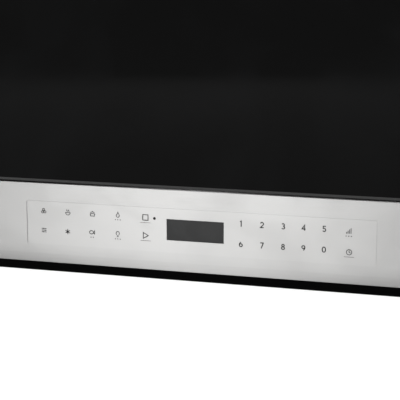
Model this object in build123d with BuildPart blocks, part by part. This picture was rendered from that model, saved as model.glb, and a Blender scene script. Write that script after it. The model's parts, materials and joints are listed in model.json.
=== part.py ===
"""Over-the-range microwave oven with a full-width glass door above a stainless touch-control strip.

Millimetres. +X is the right of the oven as a user faces it, -Y is the front, +Z is up.
The origin is on the underside, under the middle of the overall box.
"""
from build123d import *
from math import cos, radians, sin
import os

# ---------------------------------------------------------------- driving dimensions

# Overall
overall_width = 759.0
cabinet_height = 416.0
cabinet_depth = 340.0
door_thickness = 38.0
handle_reach = 44.0

# Clearances
door_gap = 2.0              # door back to cabinet front
seam = 1.0                  # visible gaps between front parts
door_seam = 1.3             # fascia to the door's lower edge
seat = 0.3                  # small gap between a part and what carries it
pin_clearance = 0.05        # radial, pin in its bore
slide_clearance = 1.0       # round parts that travel through slots

# Sheet metal
sheet = 1.0
case_bend = 2.0
face_bend = 0.6             # outside radius of the bends that show in front
flange_height = 12.0
bead_width = 18.0           # stiffening beads pressed into the back
bead_depth = 2.0
bead_taper = 30.0
bead_spacing = 210.0
bead_side = 45.0            # bead end to the side of the case

# Front, from the floor up and from the top down
trim_height = 8.9
trim_wall = 2.0
fascia_top = 93.7
bevel_height = 3.1
grille_height = 32.0
frame_gap = 3.0             # front plate to the grille

# Oven cavity
cavity_left = 22.0          # outer case to cavity wall
generator_width = 192.0     # cavity to the right side of the case
door_overlap = 32.0         # door's lower edge to the cavity floor
rear_space = 25.0           # cavity to the back of the case
cavity_corner = 10.0

# Turntable
tray_gap = 12.5             # tray to the nearest cavity wall
tray_thickness = 5.0
tray_rim = 12.0
rim_width = 4.0
rim_slope = 10.0
lug_radius = 4.0
lobe_width = 9.0
lobe_height = 7.0
coupler_radius = 16.0
coupler_hub_radius = 9.0
roller_radius = 8.0
roller_width = 6.0
roller_count = 3
roller_track = 101.0        # turntable axis to the middle of a roller
roller_pin_radius = 1.5
pin_cap_thickness = 1.2
ring_gap = 4.0              # ring to the inner face of a roller
ring_width = 8.0
ring_thickness = 3.2
ring_ear_width = 10.0       # flat ear that carries each axle
ring_ear_rise = 1.5         # ear beyond the ring
motor_shaft_radius = 3.0
motor_shaft_rise = 12.0     # above the cavity floor
turntable_motor_size = 52.0
turntable_motor_height = 15.0
turntable_motor_corner = 12.0

# Door
glass_thickness = 4.0
glass_edge = 0.6
door_side_gap = 1.0         # door edge to the side of the case
stile_width = 18.0
rail_height = 12.0
web_thickness = 2.0
window_side = 45.0          # cavity wall to the window's edge
window_edge = 32.5          # the same above and below
choke_cover_thickness = 3.0
screen_depth = 19.0
screen_margin = 22.0
inner_panel_thickness = 2.0
hinge_inset = 8.0           # hinge axis from the door's left edge
hinge_pin_radius = 3.0
hinge_pin_length = 16.0
hinge_thickness = 2.5
hinge_width = 30.0
hinge_leg = 36.0            # length of the lower hinge's leg
hinge_roof_gap = 3.0        # roof of the cavity to the upper hinge's leg
bevel_depth = 1.5

# Handle
handle_inset = 33.5         # handle axis from the door's right edge
handle_margin = 33.0        # bar end to the door's upper or lower edge
handle_width = 18.0
handle_depth = 14.0
handle_edge = 1.2
handle_post_radius = 6.0
handle_post_inset = 22.0

# Latch
latch_inset = 56.5          # latch bar from the door's right edge
latch_width = 12.0
latch_thickness = 4.0
latch_corner = 3.0
latch_below = 46.0          # bar end to the door's lower edge
latch_above = 45.0          # bar end to the door's upper edge
latch_travel = 5.0
hook_width = 5.0
hook_arm_height = 11.0
hook_nose = 4.0
hook_nose_length = 6.0
hook_reach = 16.0           # past the cabinet's front face
hook_insets = (20.0, 31.0)  # lower and upper hook from the bar's ends
spring_width = 10.0
spring_wire = 1.6
spring_bends = 4
latch_board_width = 36.0
latch_board_depth = 28.0
latch_board_wall = 2.5
latch_board_ends = (20.0, 30.0)     # beyond the lower and the upper hook
switch_width = 10.0
switch_depth = 20.0
switch_height = 28.0
switch_button = 3.0

# Control strip
fascia_sheet = 1.2
fascia_curve_depth = 2.6
roll_depth = 0.5            # where the face's gentle curve gives way to the tighter one
roll_height = 9.0
overlay_width = 366.0
overlay_drop = 19.0         # fascia top to the overlay
overlay_rise = 20.1         # fascia's lower edge to the overlay
overlay_margin = 1.3        # overlay to where the face curves back
overlay_corner = 1.0
overlay_thickness = 0.4
display_x = 0.5
display_rise = 1.0          # middle of the overlay to the middle of the display
display_width = 60.0
display_height = 22.0
display_thickness = 1.8
module_inset = 1.5
board_side = 23.0           # overlay end to the board's end
board_margin = 12.0         # board to the fascia's top and bottom
board_setback = 12.0
board_thickness = 1.6
chip_width = 18.0
chip_height = 22.0
chip_depth = 8.0
board_post = 7.0
board_post_inset = 12.0
bracket_thickness = 2.0

# Vent grille
grille_setback = 4.0
grille_wall = 2.0
grille_slats = 4
grille_slat_depth = 11.0
grille_slat_thickness = 1.5
grille_slat_angle = 35.0
grille_ribs = 5
grille_rib_thickness = 1.6
charcoal_width = 300.0
charcoal_thickness = 16.0

# Underside
filter_inside = 46.0        # middle line to a grease filter
filter_outside = 10.5       # grease filter to the generator space
filter_back = 53.0
filter_length = 198.0
filter_thickness = 9.0
filter_lip = 5.0
filter_frame = 8.0
filter_corner = 4.0
lens_side = 129.5           # side of the case to the middle of a lens
lens_setback = 58.0
lens_width = 76.0
lens_length = 52.0
lens_lip = 4.0
lens_thickness = 2.0
lamp_holder_height = 30.0
holder_wall = 1.5
bulb_radius = 9.0
bulb_length = 34.0
intake_slots = 7
intake_slot_width = 3.5
intake_slot_length = 44.0
intake_slot_pitch = 9.0
intake_side = 46.0
intake_back = 78.0

# Exhaust at the top
exhaust_back = 60.0         # middle of the duct to the back of the case
duct_width = 252.0          # outside of the collar, for a 10 in by 3 1/4 in duct
duct_length = 81.0
collar_height = 20.0
collar_flange = 16.0
damper_height = 8.0         # damper axis above the case
damper_rod_radius = 1.5
damper_clearance = 1.5

# Mounting
mount_side = 49.5
mount_setback = 58.0
mount_bolt_radius = 3.2     # 1/4 in bolts
mount_nut_radius = 8.0
mount_nut_length = 14.0
wall_slot_spacing = 460.0
wall_slot_height = 24.0
wall_slot_width = 30.0
wall_slot_thickness = 8.0
bushing_side = 79.5
bushing_back = 52.0
bushing_bore = 8.5
bushing_hole = 10.0
bushing_rim = 2.0
bushing_length = 10.0

# Microwave generator, in the space right of the cavity
waveguide_reach = 40.0
waveguide_length = 90.0
waveguide_height = 80.0
waveguide_forward = 9.5     # in front of the turntable's axis
waveguide_rise = 11.5       # above the middle of the cavity
antenna_radius = 9.0
magnetron_length = 72.0
magnetron_fins = 5
fin_thickness = 1.0
fin_inset = 4.0
yoke_inset = 7.0
yoke_wall = 2.0
anode_radius = 18.0
filter_box_length = 26.0
filter_box_width = 44.0
filter_box_height = 40.0
transformer_offset = 86.5   # cavity wall to the transformer's middle
transformer_backward = 10.5
core_width = 88.0
core_depth = 62.0
core_height = 74.0
foot_length = 12.0
foot_thickness = 2.0
coil_width = 54.0
coil_height = 44.0
coil_overhang = 12.0
coil_corner = 8.0
capacitor_offset = 33.5     # side of the case to the capacitor's middle
capacitor_forward = 69.5
can_width = 34.0
can_length = 54.0
can_height = 92.0
terminal_width = 6.0
terminal_thickness = 1.6
terminal_height = 10.0
cutout_side = 67.5          # thermal cut-out to the cavity's right wall
cutout_forward = 49.5
cutout_radius = 9.0
cutout_height = 8.0
cutout_ear = 8.0
lamp_back = 62.0
lamp_drop = 40.0
lamp_size = 38.0

# Cooling fan
fan_rise = 1.5              # above the middle of the cavity
fan_back = 47.0
fan_radius = 56.0
fan_hub_radius = 14.0
fan_hub_length = 18.0
fan_blades = 5
fan_blade_chord = 34.0
fan_blade_pitch = 30.0
fan_blade_camber = 4.0
fan_blade_thickness = 1.6
fan_shaft_radius = 2.5
fan_tip_gap = 3.0
shroud_thickness = 2.0
shroud_height = 150.0
shroud_flange = 9.0
fan_core_width = 62.0
fan_core_height = 50.0
fan_core_thickness = 15.0
fan_coil_width = 38.0
fan_coil_height = 26.0
fan_coil_thickness = 19.0

# Ventilation blower, above the cavity
blower_offset = 20.0        # in front of the middle of the duct
blower_headroom = 6.4
wheel_radius = 28.0
wheel_length = 70.0
wheel_disc = 2.0
wheel_blades = 16
blade_chord = 7.0
blade_thickness = 0.8
blade_angle = 35.0
scroll_gap = 2.3            # wheel to the scroll at its tongue
scroll_growth = 1.5         # how much the scroll widens in a quarter turn
scroll_wall = 1.2
scroll_end_gap = 7.0
inlet_lip = 4.0
blower_motor_length = 66.0
blower_motor_radius = 26.0
blower_shaft_radius = 3.0

# ---------------------------------------------------------------- places worked out from them

half_width = overall_width / 2
overall_depth = handle_reach + door_thickness + door_gap + cabinet_depth
handle_front = -overall_depth / 2
door_front = handle_front + handle_reach
door_back = door_front + door_thickness
cabinet_front = door_back + door_gap
cabinet_back = overall_depth / 2

inner_half = half_width - sheet - seat          # parts that fit inside the case
front_half = half_width - door_side_gap         # door, fascia, trim and grille

grille_bottom = cabinet_height - grille_height
plate_top = grille_bottom - frame_gap
plate_bottom = flange_height + seat
door_top = plate_top - seam
door_bottom = fascia_top + door_seam
glass_bottom = door_bottom + bevel_height
glass_back = door_front + glass_thickness
door_z = (door_bottom + door_top) / 2

scroll_radius = wheel_radius + scroll_gap + scroll_wall
scroll_depth = scroll_radius + scroll_growth    # below the blower's axis
blower_space = 2 * (sheet + seat + scroll_depth) + blower_headroom

cavity_x0 = -half_width + cavity_left
cavity_x1 = half_width - generator_width
cavity_width = cavity_x1 - cavity_x0
cavity_x = (cavity_x0 + cavity_x1) / 2
cavity_floor = door_bottom + door_overlap
cavity_top = cabinet_height - blower_space
cavity_height = cavity_top - cavity_floor
cavity_z = (cavity_floor + cavity_top) / 2
cavity_depth = cabinet_depth - rear_space
cavity_back = cabinet_front + cavity_depth
turntable_y = (cabinet_front + cavity_back) / 2
window_width = cavity_width - 2 * window_side
window_height = cavity_height - 2 * window_edge

hinge_x = -front_half + hinge_inset
hinge_y = (door_front + door_back) / 2 - seam
bracket_x = -front_half + fascia_sheet + seat + hinge_width / 2
lower_tongue_z = fascia_top - 2 * hinge_thickness

handle_x = front_half - handle_inset
latch_x = front_half - latch_inset
latch_bottom = door_bottom + latch_below
latch_top = door_top - latch_above
hook_heights = (latch_bottom + hook_insets[0], latch_top - hook_insets[1])

tray_radius = cavity_depth / 2 - tray_gap
roller_z = cavity_floor + seat + roller_radius
tray_bottom = roller_z + roller_radius + seat
ring_radius = roller_track - (roller_width + ring_width) / 2 - ring_gap
shaft_top = cavity_floor + motor_shaft_rise

space_x0 = cavity_x1 + sheet                    # right of the cavity: inside of that space
space_x1 = half_width - sheet
exhaust_y = cabinet_back - exhaust_back
blower_y = exhaust_y - blower_offset
blower_z = cavity_top + sheet + seat + scroll_depth


def front_plane(y):
    """Upright plane at depth y that faces the front. Its own axes are X and Z."""
    return Plane.XZ.offset(-y)


def side_plane(x):
    """Upright plane at width x that faces right. Its own axes are Y and Z."""
    return Plane.YZ.offset(x)


def save(part, name):
    """Label a finished part and write it."""
    part.label = name
    export_step(part, f"parts/{name}.step")


def latch_slots():
    """Slots that the two hooks pass through, drawn in the current sketch."""
    height = hook_arm_height + hook_nose + latch_travel + 2 * slide_clearance
    for hook_z in hook_heights:
        with Locations((latch_x, hook_z - hook_nose - slide_clearance)):
            Rectangle(hook_width + 2 * slide_clearance, height, align=(Align.CENTER, Align.MIN))


os.makedirs("parts", exist_ok=True)

# ---------------------------------------------------------------- cabinet

bushing_x = half_width - bushing_side
bushing_y = cabinet_back - bushing_back
mount_spacing = overall_width - 2 * mount_side
mount_y = cabinet_front + mount_setback

# Top and sides, folded from one sheet
with BuildPart() as outer_case:
    with BuildSketch(front_plane(cabinet_back)):
        with Locations((0, cabinet_height / 2)):
            Rectangle(overall_width, cabinet_height)
        with Locations((0, (cabinet_height - sheet) / 2)):
            Rectangle(overall_width - 2 * sheet, cabinet_height - sheet, mode=Mode.SUBTRACT)
    extrude(amount=cabinet_depth)
    fillet(outer_case.edges().filter_by(Axis.Y).group_by(Axis.Z)[-1], case_bend)
    with BuildSketch(Plane.XY.offset(cabinet_height)):
        with Locations((0, exhaust_y)):
            Rectangle(duct_width - 2 * sheet, duct_length - 2 * sheet)
        with Locations((0, mount_y)):
            with GridLocations(mount_spacing, 0, 2, 1):
                Circle(mount_bolt_radius)
        with Locations((bushing_x, bushing_y)):
            Circle(bushing_hole)
    extrude(amount=-2 * sheet, mode=Mode.SUBTRACT)
save(outer_case.part, "outer_case")

# Back, with two pressed beads and the two slots that hook over a wall plate
with BuildPart() as back_plate:
    back_top = cabinet_height - sheet - seat
    bead_length = overall_width - 2 * bead_side
    with BuildSketch(front_plane(cabinet_back)):
        with Locations((0, back_top / 2)):
            Rectangle(2 * inner_half, back_top)
    extrude(amount=sheet)
    with BuildSketch(front_plane(cabinet_back)):
        with Locations((0, back_top / 2)):
            with GridLocations(0, bead_spacing, 1, 2):
                Rectangle(bead_length, bead_width)
    extrude(amount=sheet + bead_depth, taper=bead_taper)
    with BuildSketch(front_plane(cabinet_back)):
        with Locations((0, back_top / 2)):
            with GridLocations(0, bead_spacing, 1, 2):
                Rectangle(bead_length - 2 * sheet, bead_width - 2 * sheet)
    extrude(amount=bead_depth, taper=bead_taper, mode=Mode.SUBTRACT)
    with BuildSketch(front_plane(cabinet_back)):
        with Locations((0, wall_slot_height)):
            with GridLocations(wall_slot_spacing, 0, 2, 1):
                Rectangle(wall_slot_width, wall_slot_thickness)
    extrude(amount=sheet, mode=Mode.SUBTRACT)
save(back_plate.part, "back_plate")

# Underside tray, with windows for the grease filters and lamps and slots for cooling air
base_back = cabinet_back - sheet - seat
filter_width = space_x0 - sheet - filter_outside - filter_inside
filter_x = filter_inside + filter_width / 2
filter_y = cabinet_back - filter_back - filter_length / 2
lens_x = half_width - lens_side
lens_y = cabinet_front + lens_setback
with BuildPart() as base_plate:
    with BuildSketch():
        with Locations((0, base_back)):
            Rectangle(2 * inner_half, base_back - cabinet_front, align=(Align.CENTER, Align.MAX))
    extrude(amount=flange_height)
    offset(amount=-sheet, openings=base_plate.faces().sort_by(Axis.Z)[-1], mode=Mode.REPLACE)
    with BuildSketch():
        with Locations((0, filter_y)):
            with GridLocations(2 * filter_x, 0, 2, 1):
                Rectangle(filter_width - 2 * filter_lip, filter_length - 2 * filter_lip)
        with Locations((0, lens_y)):
            with GridLocations(2 * lens_x, 0, 2, 1):
                Rectangle(lens_width - 2 * lens_lip, lens_length - 2 * lens_lip)
        with Locations((half_width - intake_side, cabinet_back - intake_back)):
            with GridLocations(intake_slot_pitch, 0, intake_slots, 1):
                Rectangle(intake_slot_width, intake_slot_length)
    extrude(amount=sheet, mode=Mode.SUBTRACT)
save(base_plate.part, "base_plate")

# Front plate, with the cavity's mouth, the latch slots and the notch for the lower hinge
with BuildPart() as cavity_front_plate:
    with BuildSketch(front_plane(cabinet_front + sheet)):
        with Locations((0, (plate_bottom + plate_top) / 2)):
            Rectangle(2 * (inner_half - sheet), plate_top - plate_bottom)
        with Locations((cavity_x, cavity_z)):
            RectangleRounded(cavity_width, cavity_height, cavity_corner, mode=Mode.SUBTRACT)
    extrude(amount=sheet)
    with BuildSketch(front_plane(cabinet_front)):
        latch_slots()
        with Locations((bracket_x, lower_tongue_z + hinge_thickness / 2)):
            Rectangle(hinge_width + 2 * slide_clearance, hinge_thickness + 2 * slide_clearance)
    extrude(amount=-sheet, mode=Mode.SUBTRACT)
save(cavity_front_plate.part, "cavity_front_plate")

# Cavity liner behind the front plate
waveguide_y = turntable_y - waveguide_forward
waveguide_z = cavity_z + waveguide_rise
port_length = waveguide_length - 2 * sheet
port_height = waveguide_height - 2 * sheet
with BuildPart() as oven_cavity:
    with BuildSketch(front_plane(cabinet_front + sheet)):
        with Locations((cavity_x, cavity_z)):
            RectangleRounded(cavity_width + 2 * sheet, cavity_height + 2 * sheet, cavity_corner + sheet)
    extrude(amount=-cavity_depth)
    with BuildSketch(front_plane(cabinet_front)):
        with Locations((cavity_x, cavity_z)):
            RectangleRounded(cavity_width, cavity_height, cavity_corner)
    extrude(amount=-cavity_depth, mode=Mode.SUBTRACT)
    # Hole for the turntable shaft
    with BuildSketch(Plane.XY.offset(cavity_floor)):
        with Locations((cavity_x, turntable_y)):
            Circle(motor_shaft_radius + slide_clearance)
    extrude(amount=-2 * sheet, mode=Mode.SUBTRACT)
    # Microwave port in the right wall
    with BuildSketch(side_plane(cavity_x1)):
        with Locations((waveguide_y, waveguide_z)):
            Rectangle(port_length, port_height)
    extrude(amount=2 * sheet, mode=Mode.SUBTRACT)
save(oven_cavity.part, "oven_cavity")

# Mica sheet in the microwave port
with BuildPart() as waveguide_cover:
    with BuildSketch(side_plane(cavity_x1)):
        with Locations((waveguide_y, waveguide_z)):
            Rectangle(port_length - seat, port_height - seat)
    extrude(amount=sheet)
save(waveguide_cover.part, "waveguide_cover")

# Nuts that take the two bolts from the wall cabinet above
with BuildPart() as mount_nuts:
    with BuildSketch(Plane.XY.offset(cabinet_height - sheet)):
        with Locations((0, mount_y)):
            with GridLocations(mount_spacing, 0, 2, 1):
                RegularPolygon(mount_nut_radius, 6)
                Circle(mount_bolt_radius, mode=Mode.SUBTRACT)
    extrude(amount=-mount_nut_length)
save(mount_nuts.part, "mount_nuts")

# Bushing in the top where the supply cord goes up
with BuildPart() as cord_bushing:
    with BuildSketch(Plane.XY.offset(cabinet_height)):
        with Locations((bushing_x, bushing_y)):
            Circle(bushing_hole + bushing_rim)
    extrude(amount=bushing_rim)
    with BuildSketch(Plane.XY.offset(cabinet_height)):
        with Locations((bushing_x, bushing_y)):
            Circle(bushing_hole - seat / 2)
    extrude(amount=-(bushing_length - bushing_rim))
    with BuildSketch(Plane.XY.offset(cabinet_height + bushing_rim)):
        with Locations((bushing_x, bushing_y)):
            Circle(bushing_bore)
    extrude(amount=-bushing_length, mode=Mode.SUBTRACT)
save(cord_bushing.part, "cord_bushing")

# ---------------------------------------------------------------- hinges


def hinge_bracket(leg_bottom, leg_top, tongue_z, pin_bottom, pin_top):
    """Leg behind the front plate, a tongue at tongue_z that reaches forward, and a pin."""
    leg_back = cabinet_front + sheet + hinge_thickness
    with BuildPart() as bracket:
        with BuildSketch(front_plane(leg_back)):
            with Locations((bracket_x, leg_bottom)):
                Rectangle(hinge_width, leg_top - leg_bottom, align=(Align.CENTER, Align.MIN))
        extrude(amount=hinge_thickness)
        with BuildSketch(Plane.XY.offset(tongue_z)):
            with Locations((bracket_x, leg_back)):
                Rectangle(hinge_width, hinge_thickness + sheet, align=(Align.CENTER, Align.MAX))
            with Locations((hinge_x, hinge_y)):
                Circle(hinge_inset - fascia_sheet - seat)
            make_hull()
        extrude(amount=hinge_thickness)
        with BuildSketch(Plane.XY.offset(pin_bottom)):
            with Locations((hinge_x, hinge_y)):
                Circle(hinge_pin_radius)
        extrude(amount=pin_top - pin_bottom)
    return bracket.part


upper_hinge = hinge_bracket(cavity_top + sheet + hinge_roof_gap, plate_top + hinge_thickness, plate_top,
                            door_top - hinge_pin_length, plate_top)
save(upper_hinge, "upper_hinge")
lower_hinge = hinge_bracket(lower_tongue_z - hinge_leg, lower_tongue_z + hinge_thickness,
                            lower_tongue_z, lower_tongue_z, door_bottom + hinge_pin_length)
save(lower_hinge, "lower_hinge")

# ---------------------------------------------------------------- door

frame_inner_half = front_half - stile_width
frame_inner_height = door_top - door_bottom - 2 * rail_height

# Moulded frame: stiles, rails and a thin web behind the glass
with BuildPart() as door_frame:
    with BuildSketch(front_plane(door_back)):
        with Locations((0, door_z)):
            Rectangle(2 * front_half, door_top - door_bottom)
            Rectangle(2 * frame_inner_half, frame_inner_height, mode=Mode.SUBTRACT)
    extrude(amount=door_back - glass_back)
    with BuildSketch(front_plane(glass_back)):
        with Locations((0, door_z)):
            Rectangle(2 * front_half, door_top - door_bottom)
        with Locations((cavity_x, cavity_z)):
            RectangleRounded(window_width, window_height, cavity_corner, mode=Mode.SUBTRACT)
    extrude(amount=-web_thickness)
    # Bushings for the hinge pins
    with BuildSketch(Plane.XY.offset(door_bottom)):
        with Locations((hinge_x, hinge_y)):
            Circle(hinge_pin_radius + pin_clearance)
    extrude(amount=hinge_pin_length + slide_clearance, mode=Mode.SUBTRACT)
    with BuildSketch(Plane.XY.offset(door_top)):
        with Locations((hinge_x, hinge_y)):
            Circle(hinge_pin_radius + pin_clearance)
    extrude(amount=-(hinge_pin_length + slide_clearance), mode=Mode.SUBTRACT)
save(door_frame.part, "door_frame")

# Front glass, its front edges ground except where the bevelled strip meets it
with BuildPart() as door_glass:
    with BuildSketch(front_plane(glass_back)):
        with Locations((0, (glass_bottom + door_top) / 2)):
            Rectangle(2 * front_half, door_top - glass_bottom)
    extrude(amount=glass_thickness)
    front_edges = door_glass.faces().sort_by(Axis.Y)[0].edges().sort_by(Axis.Z)[1:]
    chamfer(front_edges, glass_edge)
save(door_glass.part, "door_glass")

# Bevelled strip that closes the lower edge of the glass
with BuildPart() as door_bevel_trim:
    with BuildSketch(side_plane(-front_half)):
        with BuildLine():
            Polyline((door_front, glass_bottom), (door_front + bevel_depth, door_bottom),
                     (glass_back, door_bottom), (glass_back, glass_bottom), close=True)
        make_face()
    extrude(amount=2 * front_half)
save(door_bevel_trim.part, "door_bevel_trim")

# Inner cover over the choke channel
with BuildPart() as door_choke_cover:
    with BuildSketch(front_plane(door_back)):
        with Locations((0, door_z)):
            Rectangle(2 * (frame_inner_half - seat), frame_inner_height - 2 * seat)
        with Locations((cavity_x, cavity_z)):
            RectangleRounded(window_width, window_height, cavity_corner, mode=Mode.SUBTRACT)
    extrude(amount=choke_cover_thickness)
    with BuildSketch(front_plane(door_back)):
        latch_slots()
    extrude(amount=choke_cover_thickness, mode=Mode.SUBTRACT)
save(door_choke_cover.part, "door_choke_cover")

# Steel screen, a shallow tray whose rim meets the choke cover
with BuildPart() as door_screen:
    with BuildSketch(front_plane(door_back - choke_cover_thickness)):
        with Locations((cavity_x, cavity_z)):
            RectangleRounded(window_width + 2 * screen_margin, window_height + 2 * screen_margin,
                             cavity_corner)
    extrude(amount=screen_depth)
    offset(amount=-sheet, openings=door_screen.faces().sort_by(Axis.Y)[-1], mode=Mode.REPLACE)
save(door_screen.part, "door_screen")

# Clear panel in the window of the choke cover
with BuildPart() as door_inner_panel:
    with BuildSketch(front_plane(door_back - (choke_cover_thickness - inner_panel_thickness) / 2)):
        with Locations((cavity_x, cavity_z)):
            RectangleRounded(window_width - 2 * seat, window_height - 2 * seat, cavity_corner - seat)
    extrude(amount=inner_panel_thickness)
save(door_inner_panel.part, "door_inner_panel")

# Handle: an upright bar, rounded in front and flat behind, on two posts
handle_length = door_top - door_bottom - 2 * handle_margin
handle_back = handle_front + handle_depth
with BuildPart() as door_handle:
    with BuildSketch(Plane.XY.offset(door_z - handle_length / 2)):
        with Locations((handle_x, handle_back)):
            Ellipse(handle_width / 2, handle_depth)
            Rectangle(handle_width, handle_depth, align=(Align.CENTER, Align.MIN), mode=Mode.SUBTRACT)
    extrude(amount=handle_length)
    bar_ends = door_handle.faces().filter_by(Axis.Z)
    chamfer(bar_ends.edges().filter_by(GeomType.ELLIPSE), handle_edge)
save(door_handle.part, "door_handle")

with BuildPart() as handle_posts:
    with BuildSketch(front_plane(door_front)):
        with Locations((handle_x, door_z)):
            with GridLocations(0, handle_length - 2 * handle_post_inset, 1, 2):
                Circle(handle_post_radius)
    extrude(amount=door_front - handle_back)
save(handle_posts.part, "handle_posts")

# Latch: a bar behind the web with two hooks that reach into the cabinet
latch_back = glass_back + web_thickness + seat + latch_thickness
hook_tip = cabinet_front + hook_reach
with BuildPart() as latch_hooks:
    with BuildSketch(front_plane(latch_back)):
        with Locations((latch_x, (latch_bottom + latch_top) / 2)):
            RectangleRounded(latch_width, latch_top - latch_bottom, latch_corner)
    extrude(amount=latch_thickness)
    for hook_z in hook_heights:
        arm_top = hook_z + hook_arm_height
        hook_root = latch_back - latch_thickness / 2
        with BuildSketch(side_plane(latch_x - hook_width / 2)):
            with BuildLine():
                Polyline((hook_root, hook_z), (hook_tip - hook_nose_length, hook_z),
                         (hook_tip - hook_nose_length, hook_z - hook_nose),
                         (hook_tip - hook_nose_length / 2, hook_z - hook_nose), (hook_tip, hook_z),
                         (hook_tip, arm_top - hook_nose), (hook_tip - hook_nose, arm_top),
                         (hook_root, arm_top), close=True)
            make_face()
        extrude(amount=hook_width)
save(latch_hooks.part, "latch_hooks")

# Moulded return spring above the latch bar
spring_bottom = latch_top + seat
spring_top = door_top - rail_height - seat
spring_pitch = (spring_top - spring_bottom - spring_wire) / (2 * spring_bends)
with BuildPart() as latch_spring:
    with BuildSketch(front_plane(latch_back)):
        with BuildLine():
            bends = [(latch_x, spring_bottom + spring_wire / 2)]
            for i in range(1, 2 * spring_bends):
                side = 1 if i % 2 else -1
                reach = spring_width / 2 - spring_wire
                bends.append((latch_x + side * reach, bends[0][1] + i * spring_pitch))
            bends.append((latch_x, spring_top - spring_wire / 2))
            Polyline(*bends)
        trace(line_width=spring_wire)
    extrude(amount=latch_thickness)
save(latch_spring.part, "latch_spring")

# Latch board in the cabinet, with three interlock switches on its side
board_z0 = hook_heights[0] - latch_board_ends[0]
board_z1 = hook_heights[1] + latch_board_ends[1]
latch_board_front = cabinet_front + sheet + seat
latch_board_y = latch_board_front + latch_board_depth / 2
with BuildPart() as latch_board:
    with BuildSketch(front_plane(latch_board_front)):
        with Locations((latch_x, (board_z0 + board_z1) / 2)):
            Rectangle(latch_board_width, board_z1 - board_z0)
    extrude(amount=-latch_board_depth)
    offset(amount=-latch_board_wall, openings=latch_board.faces().sort_by(Axis.Y)[0], mode=Mode.REPLACE)
save(latch_board.part, "latch_board")

switch_x = latch_x + latch_board_width / 2 + seat
with BuildPart() as interlock_switches:
    for switch_z in (board_z0 + switch_height / 2, (board_z0 + board_z1) / 2, board_z1 - switch_height / 2):
        with BuildSketch(side_plane(switch_x)):
            with Locations((latch_board_y, switch_z)):
                Rectangle(switch_depth, switch_height)
        extrude(amount=switch_width)
        with BuildSketch(front_plane(latch_board_y - switch_depth / 2)):
            with Locations((switch_x + switch_width / 2, switch_z + switch_height / 4)):
                Rectangle(switch_button, switch_button)
        extrude(amount=switch_button)
save(interlock_switches.part, "interlock_switches")

# ---------------------------------------------------------------- control strip

fascia_bottom = trim_height + seat
fascia_back = cabinet_front - seat
overlay_top = fascia_top - overlay_drop
overlay_bottom = fascia_bottom + overlay_rise
overlay_z = (overlay_bottom + overlay_top) / 2
fascia_flat_bottom = overlay_bottom - overlay_margin
display_z = overlay_z + display_rise

# Stainless fascia: a folded shell whose face curves back above the floor edge
with BuildPart() as control_fascia:
    with BuildSketch(side_plane(-front_half)):
        with BuildLine():
            face = Line((door_front, fascia_top), (door_front, fascia_flat_bottom))
            roll_end = (door_front + roll_depth, fascia_flat_bottom - roll_height)
            roll = TangentArc(face @ 1, roll_end, tangent=face % 1)
            curve_end = (door_front + fascia_curve_depth, fascia_bottom)
            curve = TangentArc(roll @ 1, curve_end, tangent=roll % 1)
            Polyline(curve @ 1, (fascia_back, fascia_bottom), (fascia_back, fascia_top), face @ 0)
        make_face()
    extrude(amount=2 * front_half)
    offset(amount=-fascia_sheet, openings=control_fascia.faces().sort_by(Axis.Y)[-1],
           mode=Mode.REPLACE)
    long_edges = control_fascia.edges().filter_by(Axis.X)
    top_bend = long_edges.group_by(Axis.Z)[-1].sort_by(Axis.Y)[0]
    bottom_bend = long_edges.group_by(Axis.Z)[0].sort_by(Axis.Y)[0]
    fillet([top_bend, bottom_bend], face_bend)
    with BuildSketch(front_plane(door_front)):
        with Locations((display_x, display_z)):
            Rectangle(display_width, display_height)
    extrude(amount=-2 * fascia_sheet, mode=Mode.SUBTRACT)
    with BuildSketch(Plane.XY.offset(fascia_top)):
        with Locations((hinge_x, hinge_y)):
            Circle(hinge_pin_radius + slide_clearance)
    extrude(amount=-2 * fascia_sheet, mode=Mode.SUBTRACT)
save(control_fascia.part, "control_fascia")

with BuildPart() as control_overlay:
    with BuildSketch(front_plane(door_front)):
        with Locations((0, overlay_z)):
            RectangleRounded(overlay_width, overlay_top - overlay_bottom, overlay_corner)
        with Locations((display_x, display_z)):
            Rectangle(display_width, display_height, mode=Mode.SUBTRACT)
    extrude(amount=overlay_thickness)
save(control_overlay.part, "control_overlay")

display_back = door_front - overlay_thickness / 2 + display_thickness
with BuildPart() as display_window:
    with BuildSketch(front_plane(display_back)):
        with Locations((display_x, display_z)):
            Rectangle(display_width - seat, display_height - seat)
    extrude(amount=display_thickness)
save(display_window.part, "display_window")

# Display module, circuit board and the carrier behind them
board_front = door_front + board_setback
board_back = board_front + board_thickness
board_z = (fascia_bottom + fascia_top) / 2
board_width = overlay_width - 2 * board_side
board_height = fascia_top - fascia_bottom - 2 * board_margin
with BuildPart() as display_module:
    with BuildSketch(front_plane(board_front)):
        with Locations((display_x, display_z)):
            Rectangle(display_width - 2 * module_inset, display_height - 2 * module_inset)
    extrude(amount=board_front - display_back - seat)
save(display_module.part, "display_module")

with BuildPart() as control_board:
    with BuildSketch(front_plane(board_back)):
        with Locations((0, board_z)):
            Rectangle(board_width, board_height)
    extrude(amount=board_thickness)
    with BuildSketch(front_plane(board_back)):
        with Locations((0, board_z)):
            with GridLocations(2 * chip_width, 0, 4, 1):
                Rectangle(chip_width, chip_height)
    extrude(amount=-chip_depth)
save(control_board.part, "control_board")

with BuildPart() as control_bracket:
    with BuildSketch(front_plane(fascia_back)):
        with Locations((0, board_z)):
            Rectangle(board_width, board_height)
    extrude(amount=bracket_thickness)
    with BuildSketch(front_plane(fascia_back)):
        with Locations((0, board_z)):
            with GridLocations(board_width - 2 * board_post_inset, board_height - 2 * board_post_inset,
                               2, 2):
                Rectangle(board_post, board_post)
    extrude(amount=fascia_back - board_back)
save(control_bracket.part, "control_bracket")

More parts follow.
